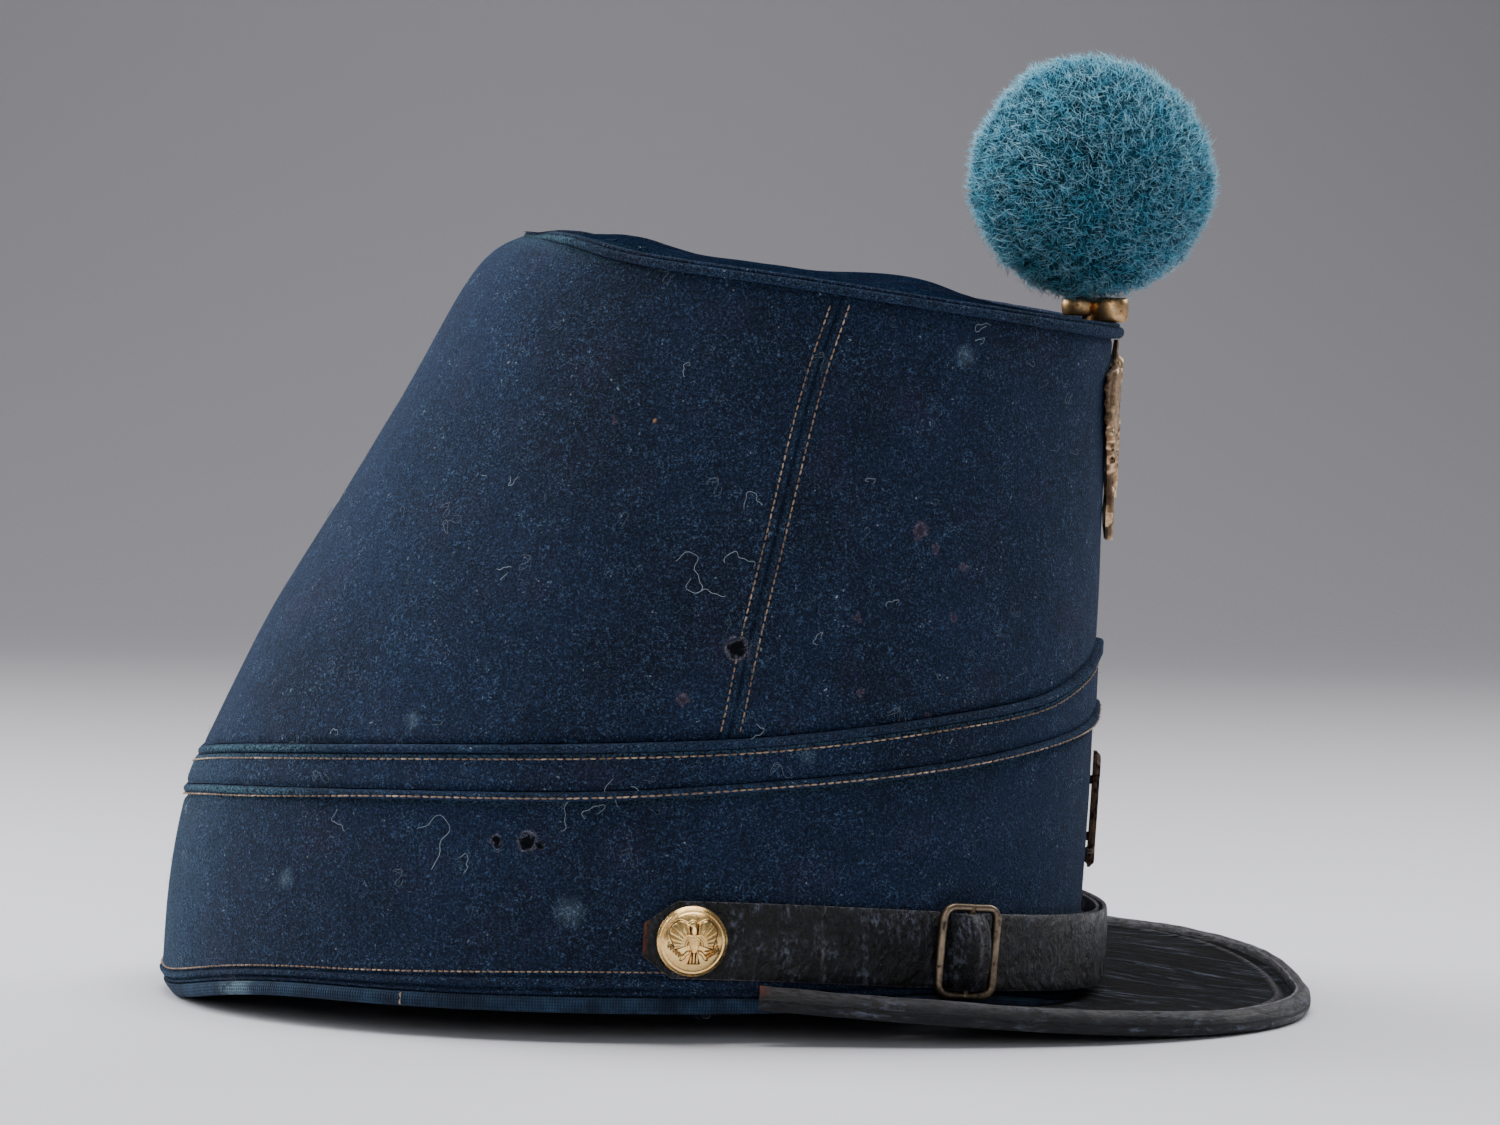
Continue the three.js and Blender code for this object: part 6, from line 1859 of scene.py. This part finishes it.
class SHAKO_OT_stitching(bpy.types.Operator):
    """Sew the rows of stitches along the seams, the welts and the base"""

    bl_idname = "shako.stitching"
    bl_label = "Stitching"

    def execute(self, context):
        settings = context.scene.shako_stitching
        look = thread_look("two_ply_silk_thread", "#745840", "#d4b798")
        rows = []
        amount = context.scene.shako_cloth.swell / MM

        def row(turn, height, out, pitch, scale):
            base = skin(turn, height)
            made = spaced(turn, height, out + swells(base, amount * scale), pitch, len(rows))
            # No thread is left across a moth hole.
            whole = np.ones(len(made[0]), bool)
            for at, up, radius in HOLES_CROWN + HOLES_BAND:
                whole &= np.linalg.norm(made[0] - skin(math.radians(at), up), axis=-1) > 1.2 * radius
            rows.append((*(part[whole] for part in made), pitch))

        for side in (-1, 1):
            for offset in (-SEAM_ROW, SEAM_ROW):
                height = np.linspace(60, 165, 120)
                seam = seam_turn(height)
                turn = side * seam + offset / skin_speed(seam, height)
                keep = (height > upper_welt(turn) + 1.6) & (height < top_edge(turn) - 1.8)
                row(turn[keep], height[keep], -0.22, 1.6, 1.0)
        around = np.linspace(0, 2 * math.pi, 720)
        back = degrees_from_front(around)
        row(around, upper_welt(around) - 2.1, 0.05 + STRIP_PROUD, 1.75, 0.3)
        share = smooth(back, 118, 150)
        row(around, lower_welt(around) - lerp(0.25, 1.15, share), lerp(1.55, 0.4, share), 1.75, 0.3)
        behind = np.linspace(math.radians(66), math.radians(294), 500)
        lift = rim(behind) + binding_height(behind) + hem_height(behind)
        row(behind, lift, 0.05 - base_tuck(behind, lift - rim(behind)), 1.4, 0.8)
        tack = np.full(9, math.radians(TACK_TURN))
        up = np.linspace(0.3, BINDING_SHOWS + 0.2, 9)
        for _ in range(2):
            row(tack, rim(tack) + up, 1.62 - 1.2 * np.abs(up / BINDING_SHOWS - 0.5) ** 2, 1.4, 0.0)
        points = np.concatenate([r[0] for r in rows])
        along = np.concatenate([r[1] for r in rows])
        outward = np.concatenate([r[2] for r in rows])
        pitch = np.concatenate([np.full(len(r[0]), r[3]) for r in rows])
        mesh = bpy.data.meshes.new("stitch_places")
        mesh.vertices.add(len(points))
        mesh.vertices.foreach_set("co", ((points + HOME) * MM).astype(np.float32).ravel())
        mark(mesh, "along", along, "FLOAT_VECTOR")
        mark(mesh, "outward", outward, "FLOAT_VECTOR")
        mark(mesh, "pitch", pitch)
        carrier = link("stitch_places", mesh)
        one = stitch_mesh("stitch", 0.86 * MM, settings.thickness, look)

        sockets = {"Stitch": "NodeSocketObject", "Seed": "NodeSocketInt", "Unevenness": "NodeSocketFloat"}
        tree, given = new_tree("Stitch rows", sockets)
        g = given.outputs
        along_v = add(tree, "GeometryNodeInputNamedAttribute", {"Name": "along"}, data_type="FLOAT_VECTOR")
        out_v = add(tree, "GeometryNodeInputNamedAttribute", {"Name": "outward"}, data_type="FLOAT_VECTOR")
        step = add(tree, "GeometryNodeInputNamedAttribute", {"Name": "pitch"}, data_type="FLOAT")
        ends = {0: (-1, -1, -1), 1: (1, 1, 1), "Seed": g["Seed"]}
        stray = add(tree, RANDOM, ends, out=0, data_type="FLOAT_VECTOR")
        bend = add(tree, VECTOR, {0: stray, "Scale": g["Unevenness"]}, operation="SCALE")
        aim = add(tree, VECTOR, {0: along_v, 1: bend}, operation="ADD")
        align = "FunctionNodeAlignRotationToVector"
        first = add(tree, align, {"Vector": aim}, axis="X")
        turned = add(tree, align, {"Rotation": first, "Vector": out_v}, axis="Z", pivot_axis="X")
        size = add(tree, "ShaderNodeCombineXYZ", {0: step, 1: 1.0, 2: 1.0})
        place_copies(tree, g["Geometry"], g["Stitch"], turned, size, look)
        values = {"Stitch": one, "Seed": settings.seed, "Unevenness": 0.09}
        piece = grow(carrier, tree, values, "thread_stitches")
        bpy.data.objects.remove(carrier)
        bpy.data.objects.remove(one)
        finish_piece(piece, "navy_cloth")
        return {"FINISHED"}


def hair_on(name, row, look):
    """A long curled hair lying on the cloth, from a row of the table of hairs."""
    turn, height, length, heading, turning = row
    t = np.linspace(0, 1, 40)
    way = math.radians(heading) + turning * t + 0.7 * np.sin(9 * t + height) + 0.4 * np.sin(23 * t + turn)
    step = length / (len(t) - 1)
    up = height + np.cumsum(np.sin(way)) * step
    start = math.radians(turn)
    turns = start + np.cumsum(np.cos(way)) * step / skin_speed(start, height)
    out = 0.6 + 0.25 * np.sin(8 * t + height) + 0.6 * smooth(np.abs(t - 0.5), 0.44, 0.5)
    outward = frame_on(turns, up)[3]
    side = np.cross(np.gradient(skin(turns, up, out), axis=0), outward)
    side /= np.linalg.norm(side, axis=-1, keepdims=True)
    a = np.linspace(0, 2 * math.pi, 4, endpoint=False)[None, :, None]
    at = skin(turns, up, out)[:, None] + 0.05 * (np.cos(a) * side[:, None] + np.sin(a) * outward[:, None])
    return loft(name, at, False, [look], {"shade": 0.55 + 0.45 * t[:, None]})


class SHAKO_OT_lint(bpy.types.Operator):
    """Scatter the short nap that stands off the cloth, and loose lint caught in it"""

    bl_idname = "shako.lint"
    bl_label = "Nap and lint"

    def execute(self, context):
        nap = lint_look("raised_wool_nap", "#24374f", "#5f7f9c")
        lint = lint_look("loose_cotton_lint", "#4c6479", "#a4b3bd")
        hair = fibre_mesh("nap_hair", 0.0010, 0.00005, 3, 0, 0.2, nap)
        fluff = curl_mesh("lint_hair", 0.0042, 0.000045, 4.0, 0.8, lint)
        strand = curl_mesh("lint_strand", 0.0075, 0.00004, 1.2, 1.6, lint)
        cloths = ("crown_cloth_front", "crown_cloth_back", "strip_cloth", "head_band_cloth")
        for k, piece_name in enumerate(cloths):
            carrier = bpy.data.objects[piece_name]
            for name, shape, look, density, lean, low, high in (
                ("nap", hair, nap, 115000.0, 1.4, 0.4, 1.1),
                ("lint", fluff, lint, 5000.0, 0.12, 0.2, 1.3),
                ("strand", strand, lint, 1500.0, 0.1, 0.4, 1.4),
            ):
                tree = scatter_tree(f"{name}_{piece_name}", look)
                values = {
                    "Shape": shape,
                    "Density": density,
                    "Seed": 20 + k,
                    "Lean": lean,
                    "Clump lean": 0.4,
                    "Clump scale": 400.0,
                    "Shortest": low,
                    "Longest": high,
                }
                made = grow(carrier, tree, values, f"{name}_on_{piece_name}")
                finish_piece(made, "navy_cloth")
        threads = [hair_on(f"hair_{k}", row, lint) for k, row in enumerate(HAIRS)]
        finish_piece(merged("curled_lint_threads", threads), "navy_cloth")
        bpy.data.objects.remove(hair)
        bpy.data.objects.remove(fluff)
        bpy.data.objects.remove(strand)
        return {"FINISHED"}


# Camera of the photograph: 1500 by 1125, from the hat's right side.
CAMERA_PLACE = (0.00244, -1.4, 0.18)
CAMERA_PITCH = 3.4
CAMERA_ROLL = 0.916
CAMERA_LENS = 151.2


class SHAKO_OT_stage(bpy.types.Operator):
    """Set up the paper sweep, the lights and the camera"""

    bl_idname = "shako.stage"
    bl_label = "Stage"

    def execute(self, context):
        scene = context.scene
        settings = scene.shako_stage
        # The second, greyer colour is painted shade on the back wall.
        look = paper_sweep("matt_studio_paper", "#e9e9f0", "#8a888d")
        corner = np.linspace(0, math.pi / 2, 16)
        start, radius, wall = 1.0, 0.7, 3.0
        y = np.concatenate([[-3.0, -1.0, 0.0], start + radius * np.sin(corner), [start + radius]])
        z = np.concatenate([[0.0, 0.0, 0.0], radius * (1 - np.cos(corner)), [wall]])
        x = np.array([-3.0, 3.0])
        points = np.stack([np.repeat(x, len(y)), np.tile(y, 2), np.tile(z, 2)], -1)
        sweep = plain("paper_sweep", points, grid(2, len(y))[:, ::-1], look)
        middle = Vector((0.0, 0.0, 0.09))
        for name, place, size, power in (
            ("left_softbox", (-0.95, 0.35, 0.5), (0.7, 1.0), settings.key),
            ("right_softbox", (0.85, 0.75, 0.75), (0.7, 0.7), 0.55 * settings.key),
            ("overhead_softbox", (0.0, 0.1, 1.5), (1.4, 1.1), settings.above),
            ("front_fill", (0.2, -1.9, 0.8), (1.2, 0.9), settings.fill),
        ):
            lamp = bpy.data.lights.new(name, "AREA")
            lamp.shape = "RECTANGLE"
            lamp.size, lamp.size_y = size
            lamp.energy = power
            holder = bpy.data.objects.new(name, lamp)
            holder.location = place
            holder.rotation_euler = (middle - Vector(place)).to_track_quat("-Z", "Y").to_euler()
            scene.collection.objects.link(holder)
        world = bpy.data.worlds.new("studio_room")
        scene.world = world
        world.use_nodes = True
        room = world.node_tree.nodes["Background"]
        room.inputs["Color"].default_value = srgb("#c8c9cd")
        room.inputs["Strength"].default_value = settings.ambient
        lens = bpy.data.cameras.new("photo_camera")
        lens.lens = CAMERA_LENS
        lens.sensor_width = 36.0
        lens.clip_start = 0.01
        camera = bpy.data.objects.new("photo_camera", lens)
        tilt = Matrix.Rotation(math.radians(90 - CAMERA_PITCH), 4, "X")
        roll = Matrix.Rotation(math.radians(CAMERA_ROLL), 4, "Z")
        camera.matrix_world = Matrix.Translation(CAMERA_PLACE) @ tilt @ roll
        scene.collection.objects.link(camera)
        scene.camera = camera
        return {"FINISHED"}


STEPS = [
    SHAKO_OT_stage,
    SHAKO_OT_cloth_body,
    SHAKO_OT_welts,
    SHAKO_OT_base_binding,
    SHAKO_OT_peak,
    SHAKO_OT_chin_strap,
    SHAKO_OT_buckle,
    SHAKO_OT_buttons,
    SHAKO_OT_front_fittings,
    SHAKO_OT_pompom,
    SHAKO_OT_stitching,
    SHAKO_OT_lint,
]


class SHAKO_PT_steps(bpy.types.Panel):
    """The steps that build the shako, and its settings"""

    bl_label = "Shako"
    bl_idname = "SHAKO_PT_steps"
    bl_space_type = "VIEW_3D"
    bl_region_type = "UI"
    bl_category = "Shako"

    def draw(self, context):
        for step in STEPS:
            self.layout.operator(step.bl_idname)
        for name, group in SETTINGS.items():
            box = self.layout.box()
            for key in group.__annotations__:
                box.prop(getattr(context.scene, name), key)


CLASSES = [*SETTINGS.values(), *STEPS, SHAKO_PT_steps]


def register():
    for made in CLASSES:
        bpy.utils.register_class(made)
    for name, group in SETTINGS.items():
        setattr(bpy.types.Scene, name, bpy.props.PointerProperty(type=group))


def unregister():
    for name in SETTINGS:
        delattr(bpy.types.Scene, name)
    for made in reversed(CLASSES):
        bpy.utils.unregister_class(made)


def main():
    register()
    for step in STEPS:
        family, name = step.bl_idname.split(".")
        getattr(getattr(bpy.ops, family), name)()


if __name__ == "__main__":
    main()
